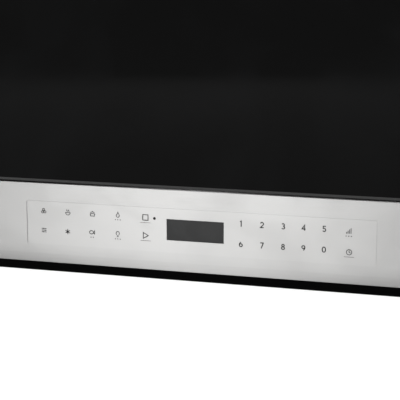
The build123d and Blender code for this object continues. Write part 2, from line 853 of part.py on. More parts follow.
# Black strip under the fascia
trim_front = door_front + fascia_curve_depth
with BuildPart() as bottom_trim:
    with BuildSketch():
        with Locations((0, trim_front)):
            Rectangle(2 * front_half, fascia_back - trim_front, align=(Align.CENTER, Align.MIN))
    extrude(amount=trim_height)
    offset(amount=-trim_wall, openings=bottom_trim.faces().sort_by(Axis.Z)[-1], mode=Mode.REPLACE)
save(bottom_trim.part, "bottom_trim")

# ---------------------------------------------------------------- vent grille

grille_front = door_front + grille_setback
grille_z = grille_bottom + grille_height / 2
with BuildPart() as vent_grille:
    with BuildSketch(front_plane(fascia_back)):
        with Locations((0, grille_z)):
            Rectangle(2 * front_half, grille_height)
            Rectangle(2 * (front_half - grille_wall), grille_height - 2 * grille_wall,
                      mode=Mode.SUBTRACT)
    extrude(amount=fascia_back - grille_front)
    slat_pitch = (grille_height - 2 * grille_wall) / grille_slats
    with BuildSketch(side_plane(-front_half + grille_wall)):
        with Locations((grille_front + grille_slat_depth / 2, grille_z)):
            with GridLocations(0, slat_pitch, 1, grille_slats):
                Rectangle(grille_slat_depth, grille_slat_thickness, rotation=-grille_slat_angle)
    extrude(amount=2 * (front_half - grille_wall))
    with BuildSketch(front_plane(grille_front + grille_slat_depth)):
        with Locations((0, grille_z)):
            with GridLocations(2 * front_half / (grille_ribs + 1), 0, grille_ribs, 1):
                Rectangle(grille_rib_thickness, grille_height - grille_wall)
    extrude(amount=grille_slat_depth / 2)
save(vent_grille.part, "vent_grille")

with BuildPart() as charcoal_filter:
    with BuildSketch(Plane.XY.offset(plate_top + seat)):
        with Locations((0, cabinet_front + seat + charcoal_thickness / 2)):
            Rectangle(charcoal_width, charcoal_thickness)
    extrude(amount=cabinet_height - sheet - seat - plate_top - seat)
save(charcoal_filter.part, "charcoal_filter")

# ---------------------------------------------------------------- underside


def grease_filter(x):
    """Framed mesh pad that lies over its window in the underside."""
    pocket = filter_thickness / 4
    with BuildPart() as pad:
        with BuildSketch(Plane.XY.offset(sheet)):
            with Locations((x, filter_y)):
                RectangleRounded(filter_width, filter_length, filter_corner)
        extrude(amount=filter_thickness)
        for z, depth in ((sheet, pocket), (sheet + filter_thickness, -pocket)):
            with BuildSketch(Plane.XY.offset(z)):
                with Locations((x, filter_y)):
                    Rectangle(filter_width - 2 * filter_frame, filter_length - 2 * filter_frame)
            extrude(amount=depth, mode=Mode.SUBTRACT)
    return pad.part


save(grease_filter(-filter_x), "grease_filter_left")
save(grease_filter(filter_x), "grease_filter_right")


def cooktop_lens(x):
    """Lens that drops through its window and rests on its lip."""
    with BuildPart() as lens:
        with BuildSketch(Plane.XY.offset(sheet)):
            with Locations((x, lens_y)):
                Rectangle(lens_width, lens_length)
        extrude(amount=lens_thickness)
        with BuildSketch(Plane.XY.offset(sheet)):
            with Locations((x, lens_y)):
                Rectangle(lens_width - 2 * lens_lip - 2 * seat, lens_length - 2 * lens_lip - 2 * seat)
        extrude(amount=-(sheet - seat))
    return lens.part


save(cooktop_lens(-lens_x), "cooktop_lens_left")
save(cooktop_lens(lens_x), "cooktop_lens_right")

# Lamp holders, open below, with a bulb in each
holder_bottom = sheet + lens_thickness
with BuildPart() as cooktop_lamps:
    for x in (-lens_x, lens_x):
        with BuildSketch(Plane.XY.offset(holder_bottom)):
            with Locations((x, lens_y)):
                Rectangle(lens_width, lens_length)
        extrude(amount=lamp_holder_height)
        with BuildSketch(Plane.XY.offset(holder_bottom)):
            with Locations((x, lens_y)):
                Rectangle(lens_width - 2 * holder_wall, lens_length - 2 * holder_wall)
        extrude(amount=lamp_holder_height - holder_wall, mode=Mode.SUBTRACT)
        with BuildSketch(side_plane(x - lens_width / 2)):
            with Locations((lens_y, holder_bottom + lamp_holder_height / 2)):
                Circle(bulb_radius)
        extrude(amount=bulb_length)
save(cooktop_lamps.part, "cooktop_lamps")

# ---------------------------------------------------------------- turntable

# Flat motor under the cavity floor, its shaft through the floor
motor_top = cavity_floor - sheet - seat
with BuildPart() as turntable_motor:
    with BuildSketch(Plane.XY.offset(motor_top)) as motor_outline:
        with Locations((cavity_x, turntable_y)):
            Rectangle(turntable_motor_size, turntable_motor_size)
        chamfer(motor_outline.vertices(), turntable_motor_corner)
    extrude(amount=-turntable_motor_height)
    with BuildSketch(Plane.XY.offset(motor_top)):
        with Locations((cavity_x, turntable_y)):
            Circle(motor_shaft_radius)
    extrude(amount=shaft_top - motor_top)
save(turntable_motor.part, "turntable_motor")

# Three-lobed coupler on the shaft
coupler_bottom = cavity_floor + slide_clearance
with BuildPart() as tray_coupler:
    with BuildSketch(Plane.XY.offset(coupler_bottom)):
        with Locations((cavity_x, turntable_y)):
            Circle(coupler_hub_radius)
    extrude(amount=tray_bottom - coupler_bottom)
    with BuildSketch(Plane.XY.offset(tray_bottom)):
        with Locations((cavity_x, turntable_y)):
            with PolarLocations(coupler_radius / 2, 3):
                Rectangle(coupler_radius, lobe_width)
    extrude(amount=-lobe_height)
    with BuildSketch(Plane.XY.offset(coupler_bottom)):
        with Locations((cavity_x, turntable_y)):
            Circle(motor_shaft_radius + pin_clearance)
    extrude(amount=shaft_top - cavity_floor, mode=Mode.SUBTRACT)
save(tray_coupler.part, "tray_coupler")

# Glass tray, turned profile with a raised rim and three lugs between the coupler's lobes
with BuildPart() as glass_tray:
    with BuildSketch(front_plane(turntable_y)):
        with BuildLine():
            Polyline((cavity_x, tray_bottom),
                     (cavity_x + tray_radius - rim_slope, tray_bottom),
                     (cavity_x + tray_radius, tray_bottom + tray_rim),
                     (cavity_x + tray_radius - rim_width, tray_bottom + tray_rim),
                     (cavity_x + tray_radius - rim_width - rim_slope, tray_bottom + tray_thickness),
                     (cavity_x, tray_bottom + tray_thickness), close=True)
        make_face()
    revolve(axis=Axis((cavity_x, turntable_y, 0), (0, 0, 1)))
    with BuildSketch(Plane.XY.offset(tray_bottom)):
        with Locations((cavity_x, turntable_y)):
            with PolarLocations(coupler_radius, 3, start_angle=60):
                Circle(lug_radius)
    extrude(amount=-lobe_height / 2)
save(glass_tray.part, "glass_tray")


def roller_plane(index, radius):
    """Plane at a roller's axle, square to the turntable's radius."""
    angle = radians(360 * index / roller_count)
    outward = Vector(cos(angle), sin(angle), 0)
    return Plane(origin=Vector(cavity_x, turntable_y, roller_z) + outward * radius,
                 x_dir=Vector(0, 0, 1), z_dir=outward)


# Ring with an ear and an axle for each roller, and a cap that keeps it on
cap_radius = roller_track + roller_width / 2 + seat
ear_radius = ring_radius + ring_width / 2 + ring_ear_rise
with BuildPart() as roller_ring:
    with BuildSketch(Plane.XY.offset(roller_z - ring_thickness / 2)):
        with Locations((cavity_x, turntable_y)):
            Circle(ring_radius + ring_width / 2)
            Circle(ring_radius - ring_width / 2, mode=Mode.SUBTRACT)
            with PolarLocations(ear_radius - ring_width / 2, roller_count):
                Rectangle(ring_width, ring_ear_width)
    extrude(amount=ring_thickness)
    for i in range(roller_count):
        with BuildSketch(roller_plane(i, ear_radius)):
            Circle(roller_pin_radius)
        extrude(amount=cap_radius - ear_radius)
        with BuildSketch(roller_plane(i, cap_radius)):
            Circle(2 * roller_pin_radius)
        extrude(amount=pin_cap_thickness)
save(roller_ring.part, "roller_ring")

for i in range(roller_count):
    with BuildPart() as roller:
        with BuildSketch(roller_plane(i, roller_track - roller_width / 2)):
            Circle(roller_radius)
            Circle(roller_pin_radius + pin_clearance, mode=Mode.SUBTRACT)
        extrude(amount=roller_width)
    save(roller.part, f"roller_{i + 1}")

# ---------------------------------------------------------------- microwave generator

waveguide_x1 = space_x0 + waveguide_reach
with BuildPart() as waveguide:
    with BuildSketch(side_plane(space_x0)):
        with Locations((waveguide_y, waveguide_z)):
            Rectangle(waveguide_length, waveguide_height)
    extrude(amount=waveguide_reach)
    offset(amount=-sheet, openings=waveguide.faces().sort_by(Axis.X)[0], mode=Mode.REPLACE)
    with BuildSketch(side_plane(waveguide_x1)):
        with Locations((waveguide_y, waveguide_z)):
            Circle(antenna_radius + slide_clearance)
    extrude(amount=-2 * sheet, mode=Mode.SUBTRACT)
save(waveguide.part, "waveguide")

# Magnetron: antenna, yoke, anode between its fins, and the filter box
yoke_width = waveguide_length - 2 * yoke_inset
yoke_height = waveguide_height - 2 * yoke_inset
yoke_end = waveguide_x1 + magnetron_length
with BuildPart() as magnetron:
    with BuildSketch(side_plane(waveguide_x1)):
        with Locations((waveguide_y, waveguide_z)):
            Rectangle(waveguide_length, waveguide_height)
    extrude(amount=yoke_wall)
    with BuildSketch(side_plane(waveguide_x1)):
        with Locations((waveguide_y, waveguide_z)):
            Circle(antenna_radius)
    extrude(amount=-waveguide_reach / 2)
    with BuildSketch(side_plane(waveguide_x1)):
        with Locations((waveguide_y, waveguide_z)):
            Rectangle(yoke_width, yoke_height)
            Rectangle(yoke_width, yoke_height - 2 * yoke_wall, mode=Mode.SUBTRACT)
            RegularPolygon(anode_radius, 12)
    extrude(amount=magnetron_length)
    fin_pitch = (magnetron_length - yoke_wall) / (magnetron_fins + 1)
    for i in range(magnetron_fins):
        with BuildSketch(side_plane(waveguide_x1 + yoke_wall + (i + 1) * fin_pitch)):
            with Locations((waveguide_y, waveguide_z)):
                Rectangle(yoke_width - 2 * fin_inset, yoke_height - 2 * yoke_wall)
        extrude(amount=fin_thickness)
    with BuildSketch(side_plane(yoke_end)):
        with Locations((waveguide_y, waveguide_z)):
            Rectangle(yoke_width, yoke_height)
    extrude(amount=yoke_wall)
    with BuildSketch(side_plane(yoke_end + yoke_wall)):
        with Locations((waveguide_y, waveguide_z)):
            Rectangle(filter_box_width, filter_box_height)
    extrude(amount=filter_box_length)
save(magnetron.part, "magnetron")

# Transformer: laminated core, coils and foot plate
transformer_x = space_x0 + transformer_offset
transformer_y = turntable_y + transformer_backward
core_bottom = sheet + foot_thickness
with BuildPart() as high_voltage_transformer:
    with BuildSketch(Plane.XY.offset(sheet)):
        with Locations((transformer_x, transformer_y)):
            Rectangle(core_width + 2 * foot_length, core_depth)
    extrude(amount=foot_thickness)
    with BuildSketch(Plane.XY.offset(core_bottom)):
        with Locations((transformer_x, transformer_y)):
            Rectangle(core_width, core_depth)
    extrude(amount=core_height)
    with BuildSketch(front_plane(transformer_y + core_depth / 2 + coil_overhang)):
        with Locations((transformer_x, core_bottom + core_height / 2)):
            RectangleRounded(coil_width, coil_height, coil_corner)
    extrude(amount=core_depth + 2 * coil_overhang)
save(high_voltage_transformer.part, "high_voltage_transformer")

# Capacitor: oval can with two blade terminals
capacitor_x = half_width - capacitor_offset
capacitor_y = turntable_y - capacitor_forward
with BuildPart() as high_voltage_capacitor:
    with BuildSketch(Plane.XY.offset(sheet)):
        with Locations((capacitor_x, capacitor_y)):
            SlotOverall(can_length, can_width, rotation=90)
    extrude(amount=can_height)
    with BuildSketch(Plane.XY.offset(sheet + can_height)):
        with Locations((capacitor_x, capacitor_y)):
            with GridLocations(0, can_length / 2, 1, 2):
                Rectangle(terminal_width, terminal_thickness)
    extrude(amount=terminal_height)
save(high_voltage_capacitor.part, "high_voltage_capacitor")

# Thermal cut-out on the roof of the cavity
with BuildPart() as thermal_cutout:
    with BuildSketch(Plane.XY.offset(cavity_top + sheet)):
        with Locations((cavity_x1 - cutout_side, turntable_y - cutout_forward)):
            Rectangle(2 * (cutout_radius + cutout_ear), cutout_radius)
    extrude(amount=sheet)
    with BuildSketch(Plane.XY.offset(cavity_top + sheet)):
        with Locations((cavity_x1 - cutout_side, turntable_y - cutout_forward)):
            Circle(cutout_radius)
    extrude(amount=cutout_height)
save(thermal_cutout.part, "thermal_cutout")

# Lamp holder on the right wall of the cavity, with its bulb
lamp_y = cavity_back - lamp_back
lamp_z = cavity_top - lamp_drop
with BuildPart() as cavity_lamp:
    with BuildSketch(side_plane(space_x0 + seat)):
        with Locations((lamp_y, lamp_z)):
            Rectangle(lamp_size, lamp_size)
    extrude(amount=lamp_size)
    offset(amount=-holder_wall, openings=cavity_lamp.faces().sort_by(Axis.X)[0], mode=Mode.REPLACE)
    with BuildSketch(front_plane(lamp_y + lamp_size / 2)):
        with Locations((space_x0 + seat + lamp_size / 2, lamp_z)):
            Circle(bulb_radius)
    extrude(amount=lamp_size - bulb_radius)
save(cavity_lamp.part, "cavity_lamp")

# ---------------------------------------------------------------- cooling fan

fan_x = (space_x0 + space_x1) / 2
fan_y = cabinet_back - fan_back
fan_z = cavity_z + fan_rise
shroud_width = space_x1 - space_x0 - 2 * seat
with BuildPart() as fan_shroud:
    with BuildSketch(front_plane(fan_y + shroud_thickness)):
        with Locations((fan_x, fan_z)):
            Rectangle(shroud_width, shroud_height)
            Circle(fan_radius + fan_tip_gap, mode=Mode.SUBTRACT)
    extrude(amount=shroud_thickness)
    with BuildSketch(front_plane(fan_y + shroud_thickness)):
        with Locations((fan_x, fan_z)):
            with GridLocations(0, shroud_height - shroud_thickness, 1, 2):
                Rectangle(shroud_width, shroud_thickness)
    extrude(amount=-shroud_flange)
save(fan_shroud.part, "fan_shroud")

# Shaded-pole motor: laminated frame with the coil below and the shaft above
fan_motor_back = cabinet_back - sheet
core_front = fan_motor_back - fan_core_thickness
with BuildPart() as cooling_fan_motor:
    with BuildSketch(front_plane(fan_motor_back)):
        with Locations((fan_x, fan_z)):
            Rectangle(fan_core_width, fan_core_height)
    extrude(amount=fan_core_thickness)
    with BuildSketch(front_plane(fan_motor_back)):
        with Locations((fan_x, fan_z - (fan_core_height + fan_coil_height) / 2)):
            Rectangle(fan_coil_width, fan_coil_height)
    extrude(amount=fan_coil_thickness)
    with BuildSketch(front_plane(core_front)):
        with Locations((fan_x, fan_z)):
            Circle(fan_shaft_radius)
    extrude(amount=core_front - fan_y + fan_hub_length / 2 - slide_clearance)
save(cooling_fan_motor.part, "cooling_fan_motor")

# Fan: a hub and pitched, cambered blades that follow the shroud at their tips
with BuildPart() as cooling_fan:
    for i in range(fan_blades):
        angle = radians(360 * i / fan_blades)
        outward = Vector(cos(angle), 0, sin(angle))
        around = Vector(-sin(angle), 0, cos(angle))
        pitch = radians(fan_blade_pitch)
        chord = around * cos(pitch) + Vector(0, 1, 0) * sin(pitch)
        with BuildSketch(Plane(origin=Vector(fan_x, fan_y, fan_z), x_dir=chord, z_dir=outward)):
            with BuildLine():
                half = fan_blade_chord / 2
                upper = SagittaArc((-half, fan_blade_thickness), (half, fan_blade_thickness),
                                   fan_blade_camber)
                lower = SagittaArc((-half, 0), (half, 0), fan_blade_camber)
                Line(upper @ 0, lower @ 0)
                Line(upper @ 1, lower @ 1)
            make_face()
        extrude(amount=fan_radius + fan_tip_gap)
    with BuildSketch(front_plane(fan_y + fan_radius)):
        with Locations((fan_x, fan_z)):
            Circle(fan_radius)
    extrude(amount=2 * fan_radius, mode=Mode.INTERSECT)
    with BuildSketch(front_plane(fan_y + fan_hub_length / 2)):
        with Locations((fan_x, fan_z)):
            Circle(fan_hub_radius)
    extrude(amount=fan_hub_length)
    with BuildSketch(front_plane(fan_y + fan_hub_length / 2)):
        with Locations((fan_x, fan_z)):
            Circle(fan_shaft_radius + pin_clearance)
    extrude(amount=fan_hub_length - seat, mode=Mode.SUBTRACT)
save(cooling_fan.part, "cooling_fan")

# ---------------------------------------------------------------- ventilation blower

scroll_x = blower_motor_length / 2 + seat
scroll_length = wheel_length + 2 * scroll_end_gap
outlet_top = cabinet_height - sheet - seat


def scroll_outline(inset):
    """Scroll that widens by quarter turns from its tongue to its outlet, with its wall inset."""
    centre = Vector(blower_y, blower_z)
    radius = scroll_radius - inset
    tongue = blower_y + scroll_wall + inset
    with BuildSketch() as outline:
        with BuildLine():
            first = CenterArc(centre, radius, 90, 90)
            CenterArc(centre + Vector(scroll_growth, 0), radius + scroll_growth, 180, 90)
            last = CenterArc(centre + Vector(scroll_growth, scroll_growth), radius + 2 * scroll_growth,
                             270, 90)
            Polyline(last @ 1, ((last @ 1).X, outlet_top), (tongue, outlet_top),
                     (tongue, (first @ 0).Y), first @ 0)
        make_face()
    return outline.sketch


# Two scrolls, one each side of the motor, with an inlet at both ends of each
with BuildPart() as blower_housing:
    for x in (scroll_x, -scroll_x - scroll_length):
        with BuildSketch(side_plane(x)):
            add(scroll_outline(0))
        extrude(amount=scroll_length)
        with BuildSketch(side_plane(x + scroll_wall)):
            add(scroll_outline(scroll_wall))
        extrude(amount=scroll_length - 2 * scroll_wall, mode=Mode.SUBTRACT)
        with BuildSketch(side_plane(x)):
            with Locations((blower_y, blower_z)):
                Circle(wheel_radius - inlet_lip)
        extrude(amount=scroll_length, mode=Mode.SUBTRACT)
save(blower_housing.part, "blower_housing")

with BuildPart() as blower_motor:
    with BuildSketch(side_plane(-blower_motor_length / 2)):
        with Locations((blower_y, blower_z)):
            Circle(blower_motor_radius)
            Circle(blower_shaft_radius + pin_clearance, mode=Mode.SUBTRACT)
    extrude(amount=blower_motor_length)
save(blower_motor.part, "blower_motor")

wheel_inside = scroll_x + scroll_end_gap
with BuildPart() as blower_shaft:
    with BuildSketch(side_plane(-wheel_inside - wheel_disc)):
        with Locations((blower_y, blower_z)):
            Circle(blower_shaft_radius)
    extrude(amount=2 * (wheel_inside + wheel_disc))
save(blower_shaft.part, "blower_shaft")

# Two squirrel-cage wheels: a disc on the shaft, leaning blades and an end ring
with BuildPart() as blower_wheels:
    for direction in (1, -1):
        with BuildSketch(side_plane(direction * wheel_inside)):
            with Locations((blower_y, blower_z)):
                Circle(wheel_radius)
                Circle(blower_shaft_radius, mode=Mode.SUBTRACT)
        extrude(amount=direction * wheel_disc)
        with BuildSketch(side_plane(direction * (wheel_inside + wheel_disc))):
            with Locations((blower_y, blower_z)):
                with PolarLocations(wheel_radius - blade_chord / 2, wheel_blades):
                    Rectangle(blade_chord, blade_thickness, rotation=blade_angle)
        extrude(amount=direction * (wheel_length - 2 * wheel_disc))
        with BuildSketch(side_plane(direction * (wheel_inside + wheel_length))):
            with Locations((blower_y, blower_z)):
                Circle(wheel_radius)
                Circle(wheel_radius - blade_chord, mode=Mode.SUBTRACT)
        extrude(amount=-direction * wheel_disc)
save(blower_wheels.part, "blower_wheels")

# ---------------------------------------------------------------- exhaust

damper_y = exhaust_y + duct_length / 2 - sheet - damper_clearance - 2 * damper_rod_radius
damper_z = cabinet_height + damper_height
damper_half = duct_width / 2 - sheet - damper_clearance
damper_front = exhaust_y - duct_length / 2 + sheet + damper_clearance

# Collar for a house duct, with the stop that the damper rests on
with BuildPart() as exhaust_collar:
    with BuildSketch(Plane.XY.offset(cabinet_height)):
        with Locations((0, exhaust_y)):
            Rectangle(duct_width + 2 * collar_flange, duct_length + 2 * collar_flange)
            Rectangle(duct_width - 2 * sheet, duct_length - 2 * sheet, mode=Mode.SUBTRACT)
    extrude(amount=sheet)
    with BuildSketch(Plane.XY.offset(cabinet_height)):
        with Locations((0, exhaust_y)):
            Rectangle(duct_width, duct_length)
            Rectangle(duct_width - 2 * sheet, duct_length - 2 * sheet, mode=Mode.SUBTRACT)
    extrude(amount=collar_height)
    with BuildSketch(Plane.XY.offset(damper_z - sheet / 2 - seat)):
        with Locations((0, exhaust_y - duct_length / 2)):
            Rectangle(duct_width, sheet + 2 * damper_clearance, align=(Align.CENTER, Align.MIN))
    extrude(amount=-sheet)
    with BuildSketch(side_plane(-duct_width / 2)):
        with Locations((damper_y, damper_z)):
            Circle(damper_rod_radius + pin_clearance)
    extrude(amount=duct_width, mode=Mode.SUBTRACT)
save(exhaust_collar.part, "exhaust_collar")

# Damper flap on its rod
with BuildPart() as exhaust_damper:
    with BuildSketch(Plane.XY.offset(damper_z - sheet / 2)):
        with Locations((0, damper_front)):
            Rectangle(2 * damper_half, damper_y - damper_front, align=(Align.CENTER, Align.MIN))
    extrude(amount=sheet)
    with BuildSketch(side_plane(-duct_width / 2)):
        with Locations((damper_y, damper_z)):
            Circle(damper_rod_radius)
    extrude(amount=duct_width)
save(exhaust_damper.part, "exhaust_damper")
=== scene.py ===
"""Looks of an over-the-range microwave oven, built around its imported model. Metres throughout.

The oven faces -Y, its underside is at z = 0, and +X is on the right of the person who uses it. In order:
the patterns and finishes, the studio, the print on the control panel, then the fasteners and fittings.
"""
import json
from math import cos, pi, radians, sin, sqrt

import bmesh
import bpy
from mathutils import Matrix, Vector


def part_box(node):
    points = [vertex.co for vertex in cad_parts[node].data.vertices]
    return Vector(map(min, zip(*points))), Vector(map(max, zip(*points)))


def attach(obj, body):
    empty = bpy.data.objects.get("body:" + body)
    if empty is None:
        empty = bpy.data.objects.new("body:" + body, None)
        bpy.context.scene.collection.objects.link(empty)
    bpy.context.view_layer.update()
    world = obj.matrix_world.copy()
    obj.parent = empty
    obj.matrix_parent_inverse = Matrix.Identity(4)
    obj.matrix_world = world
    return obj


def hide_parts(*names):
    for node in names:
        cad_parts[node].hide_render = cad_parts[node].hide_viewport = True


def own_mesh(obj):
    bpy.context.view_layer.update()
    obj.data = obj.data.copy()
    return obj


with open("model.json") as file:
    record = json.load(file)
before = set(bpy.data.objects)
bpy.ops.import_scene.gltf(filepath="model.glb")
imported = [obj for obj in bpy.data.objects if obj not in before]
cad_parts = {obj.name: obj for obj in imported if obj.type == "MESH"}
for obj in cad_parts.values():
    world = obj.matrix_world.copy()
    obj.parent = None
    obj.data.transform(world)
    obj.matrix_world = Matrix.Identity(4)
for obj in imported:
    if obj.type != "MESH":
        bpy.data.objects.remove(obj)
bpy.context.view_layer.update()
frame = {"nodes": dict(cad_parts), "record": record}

scene = bpy.context.scene
nodes = frame["nodes"]
MM = 0.001
MICRON = 0.000001

# ---------------------------------------------------------------- node trees


def node(tree, kind, inputs=None, **settings):
    """A new node. Each input is set to a value, or joined to the socket given for it."""
    made = tree.nodes.new("ShaderNode" + kind)
    for key, value in settings.items():
        setattr(made, key, value)
    for key, value in (inputs or {}).items():
        if isinstance(value, bpy.types.NodeSocket):
            tree.links.new(value, made.inputs[key])
        else:
            made.inputs[key].default_value = value
    return made


def math(tree, operation, a, b):
    """The result of one sum on two values or sockets."""
    return node(tree, "Math", {0: a, 1: b}, operation=operation).outputs[0]


def spread(tree, value, low, high):
    """A value from 0 to 1 brought to the range from low to high."""
    return node(tree, "MapRange", {"Value": value, "To Min": low, "To Max": high}).outputs[0]


def shades(tree, factor, dark, light):
    """A colour between two others."""
    ramp = node(tree, "ValToRGB", {"Fac": factor})
    ramp.color_ramp.elements[0].color = (*dark, 1.0)
    ramp.color_ramp.elements[1].color = (*light, 1.0)
    return ramp.outputs["Color"]


# ---------------------------------------------------------------- patterns that the finishes share


def pattern(name, draw):
    """Node group with a Scale (features per metre) and a Stretch. It puts out a Mask and a Height."""
    tree = bpy.data.node_groups.new(name, "ShaderNodeTree")
    tree.interface.new_socket("Scale", in_out="INPUT", socket_type="NodeSocketFloat")
    tree.interface.new_socket("Stretch", in_out="INPUT", socket_type="NodeSocketVector")
    tree.interface.new_socket("Mask", in_out="OUTPUT", socket_type="NodeSocketFloat")
    tree.interface.new_socket("Height", in_out="OUTPUT", socket_type="NodeSocketFloat")
    given = tree.nodes.new("NodeGroupInput").outputs
    place = node(tree, "TexCoord").outputs["Object"]
    place = node(tree, "VectorMath", {0: place, 1: given["Stretch"]}, operation="MULTIPLY").outputs[0]
    place = node(tree, "VectorMath", {0: place, "Scale": given["Scale"]}, operation="SCALE").outputs[0]
    mask, height = draw(tree, place)
    out = tree.nodes.new("NodeGroupOutput").inputs
    tree.links.new(mask, out["Mask"])
    tree.links.new(height, out["Height"])
    return tree


def noise(tree, place, scale, detail):
    """Cloudy noise from 0 to 1."""
    return node(tree, "TexNoise", {"Vector": place, "Scale": scale, "Detail": detail}).outputs["Fac"]


def blend(tree, first, second, share):
    """Two values mixed. The first one's share is given."""
    rest = math(tree, "MULTIPLY", second, 1.0 - share)
    return math(tree, "ADD", math(tree, "MULTIPLY", first, share), rest)


def draw_grain(tree, place):
    """Fine random grain, with slower clouds in it."""
    fine = noise(tree, place, 1.0, 3.0)
    clouds = noise(tree, place, 0.06, 2.0)
    return blend(tree, fine, clouds, 0.6), fine


def draw_peel(tree, place):
    """Orange peel of sprayed and baked coats."""
    cells = node(tree, "TexVoronoi", {"Vector": place, "Scale": 1.0}, feature="SMOOTH_F1")
    return noise(tree, place, 0.03, 3.0), cells.outputs["Distance"]


def draw_spangle(tree, place):
    """Flat crystals of zinc, each a little lighter or darker than the next."""
    cells = node(tree, "TexVoronoi", {"Vector": place, "Scale": 1.0})
    tone = node(tree, "SeparateColor", {0: cells.outputs["Color"]}).outputs[0]
    fine = noise(tree, place, 6.0, 2.0)
    return blend(tree, tone, fine, 0.7), fine


def draw_laminations(tree, place):
    """Edges of stacked steel sheets."""
    bands = node(tree, "TexWave", {"Vector": place, "Scale": 1.0, "Distortion": 0.4}, bands_direction="Z")
    return bands.outputs["Fac"], bands.outputs["Fac"]


def draw_holes(tree, place):
    """Staggered round holes in sheet metal that faces along Y. The mask is 1 in a hole."""
    turned = node(tree, "Mapping", {"Vector": place, "Rotation": (radians(90), 0.0, radians(45))})
    cells = node(tree, "TexVoronoi", {"Vector": turned.outputs[0], "Scale": 1.0, "Randomness": 0.0},
                 voronoi_dimensions="2D")
    outside, inside = 0.40, 0.34
    away = cells.outputs["Distance"]
    hole = node(tree, "MapRange", {"Value": away, "From Min": outside, "From Max": inside}).outputs[0]
    return hole, math(tree, "SUBTRACT", 1.0, hole)


def draw_handling(tree, place):
    """Slow smears and finger marks."""
    smear = node(tree, "TexNoise", {"Vector": place, "Scale": 1.0, "Detail": 4.0, "Distortion": 0.8})
    clean, marked = 0.45, 0.7
    mark = node(tree, "MapRange", {"Value": smear.outputs["Fac"], "From Min": clean, "From Max": marked})
    return mark.outputs[0], smear.outputs["Fac"]


grain = pattern("grain", draw_grain)
peel = pattern("orange_peel", draw_peel)
spangle = pattern("zinc_spangle", draw_spangle)
laminations = pattern("laminations", draw_laminations)
holes = pattern("punched_holes", draw_holes)
handling = pattern("handling", draw_handling)

# ---------------------------------------------------------------- finishes

BRUSHED = 0.012
EVEN = (1.0, 1.0, 1.0)
ALONG_X = (BRUSHED, 1.0, 1.0)
ALONG_Z = (1.0, 1.0, BRUSHED)
HANDLING_SCALE = 14.0
HANDLING_SHARE = 0.5
finishes = {}


def placed(tree, group, scale, stretch=EVEN):
    """One of the patterns, placed in a material."""
    made = tree.nodes.new("ShaderNodeGroup")
    made.node_tree = group
    made.inputs["Scale"].default_value = scale
    made.inputs["Stretch"].default_value = stretch
    return made.outputs


def finish(name, group, scale, dark, light, roughness, relief, stretch=EVEN, **shader):
    """Material whose colour and relief follow one pattern, and whose gloss follows handling too.

    scale is in features per metre, roughness is the least and the greatest, and relief is in micrometres.
    """
    material = bpy.data.materials.new(name)
    material.use_nodes = True
    tree = material.node_tree
    shade = tree.nodes["Principled BSDF"]
    surface = placed(tree, group, scale, stretch)
    touched = placed(tree, handling, HANDLING_SCALE)
    mixed = math(tree, "MULTIPLY_ADD", touched["Mask"], HANDLING_SHARE)
    tree.links.new(surface["Mask"], mixed.node.inputs[2])
    tree.links.new(shades(tree, surface["Mask"], dark, light), shade.inputs["Base Color"])
    tree.links.new(spread(tree, mixed, *roughness), shade.inputs["Roughness"])
    bump = node(tree, "Bump", {"Height": surface["Height"], "Strength": 1.0, "Distance": relief * MICRON})
    tree.links.new(bump.outputs[0], shade.inputs["Normal"])
    for key, value in shader.items():
        shade.inputs[key.replace("_", " ").title().replace("Ior", "IOR")].default_value = value
    finishes[name] = material
    return material


def grey(value, tint=(1.0, 1.0, 1.0)):
    """A neutral colour, or one slightly tinted."""
    return tuple(value * part for part in tint)


WARM = (1.0, 0.995, 0.985)
COOL = (0.96, 0.985, 1.0)

# Finishes of the slots
finish("stainless", grain, 2600, grey(0.395, WARM), grey(0.425, WARM), (0.46, 0.56), 4, ALONG_X,
       metallic=1.0, anisotropic=0.88, anisotropic_rotation=0.25)
finish("overlay_film", grain, 2600, grey(0.405, WARM), grey(0.437, WARM), (0.47, 0.56), 3, ALONG_X,
       metallic=1.0, anisotropic=0.88, anisotropic_rotation=0.25)
finish("black_glass", handling, 9, grey(0.0022), grey(0.0032, COOL), (0.02, 0.07), 0,
       specular_ior_level=0.04)
finish("display_glass", handling, 40, grey(0.016, COOL), grey(0.021, COOL), (0.06, 0.14), 0,
       specular_ior_level=0.33)
finish("clear_glass", handling, 20, grey(0.90, COOL), grey(0.97), (0.0, 0.05), 10,
       transmission_weight=0.92, ior=1.5)
finish("clear_plastic", handling, 16, grey(0.90), grey(0.96), (0.0, 0.03), 0,
       transmission_weight=1.0, ior=1.1, specular_ior_level=0.06)
finish("black_plastic", grain, 1700, grey(0.008), grey(0.020), (0.42, 0.58), 60, specular_ior_level=0.3)
finish("white_plastic", grain, 1300, grey(0.66, WARM), grey(0.76, WARM), (0.35, 0.5), 30)
finish("dark_bevel", grain, 900, grey(0.012), grey(0.020), (0.16, 0.26), 4, specular_ior_level=0.42)
finish("case_paint", peel, 1400, grey(0.0175), grey(0.0195), (0.43, 0.48), 50, specular_ior_level=0.35)
finish("cavity_enamel", peel, 700, grey(0.44, WARM), grey(0.52, WARM), (0.26, 0.4), 60)
finish("galvanised", spangle, 160, grey(0.34, COOL), grey(0.48, COOL), (0.38, 0.55), 10, metallic=1.0)
aluminium_mesh = finish("aluminium_mesh", grain, 1500, grey(0.55, COOL), grey(0.75, COOL), (0.3, 0.45), 20,
                        metallic=1.0)
spring_steel = finish("spring_steel", grain, 2000, grey(0.42), grey(0.56), (0.25, 0.4), 5, metallic=1.0)
finish("iron_core", laminations, 320, grey(0.05), grey(0.16), (0.4, 0.55), 200, metallic=0.6)
finish("charcoal_pad", peel, 420, grey(0.006), grey(0.03), (0.8, 0.95), 900)
finish("mica", peel, 300, (0.42, 0.35, 0.24), (0.62, 0.54, 0.40), (0.3, 0.5), 50)
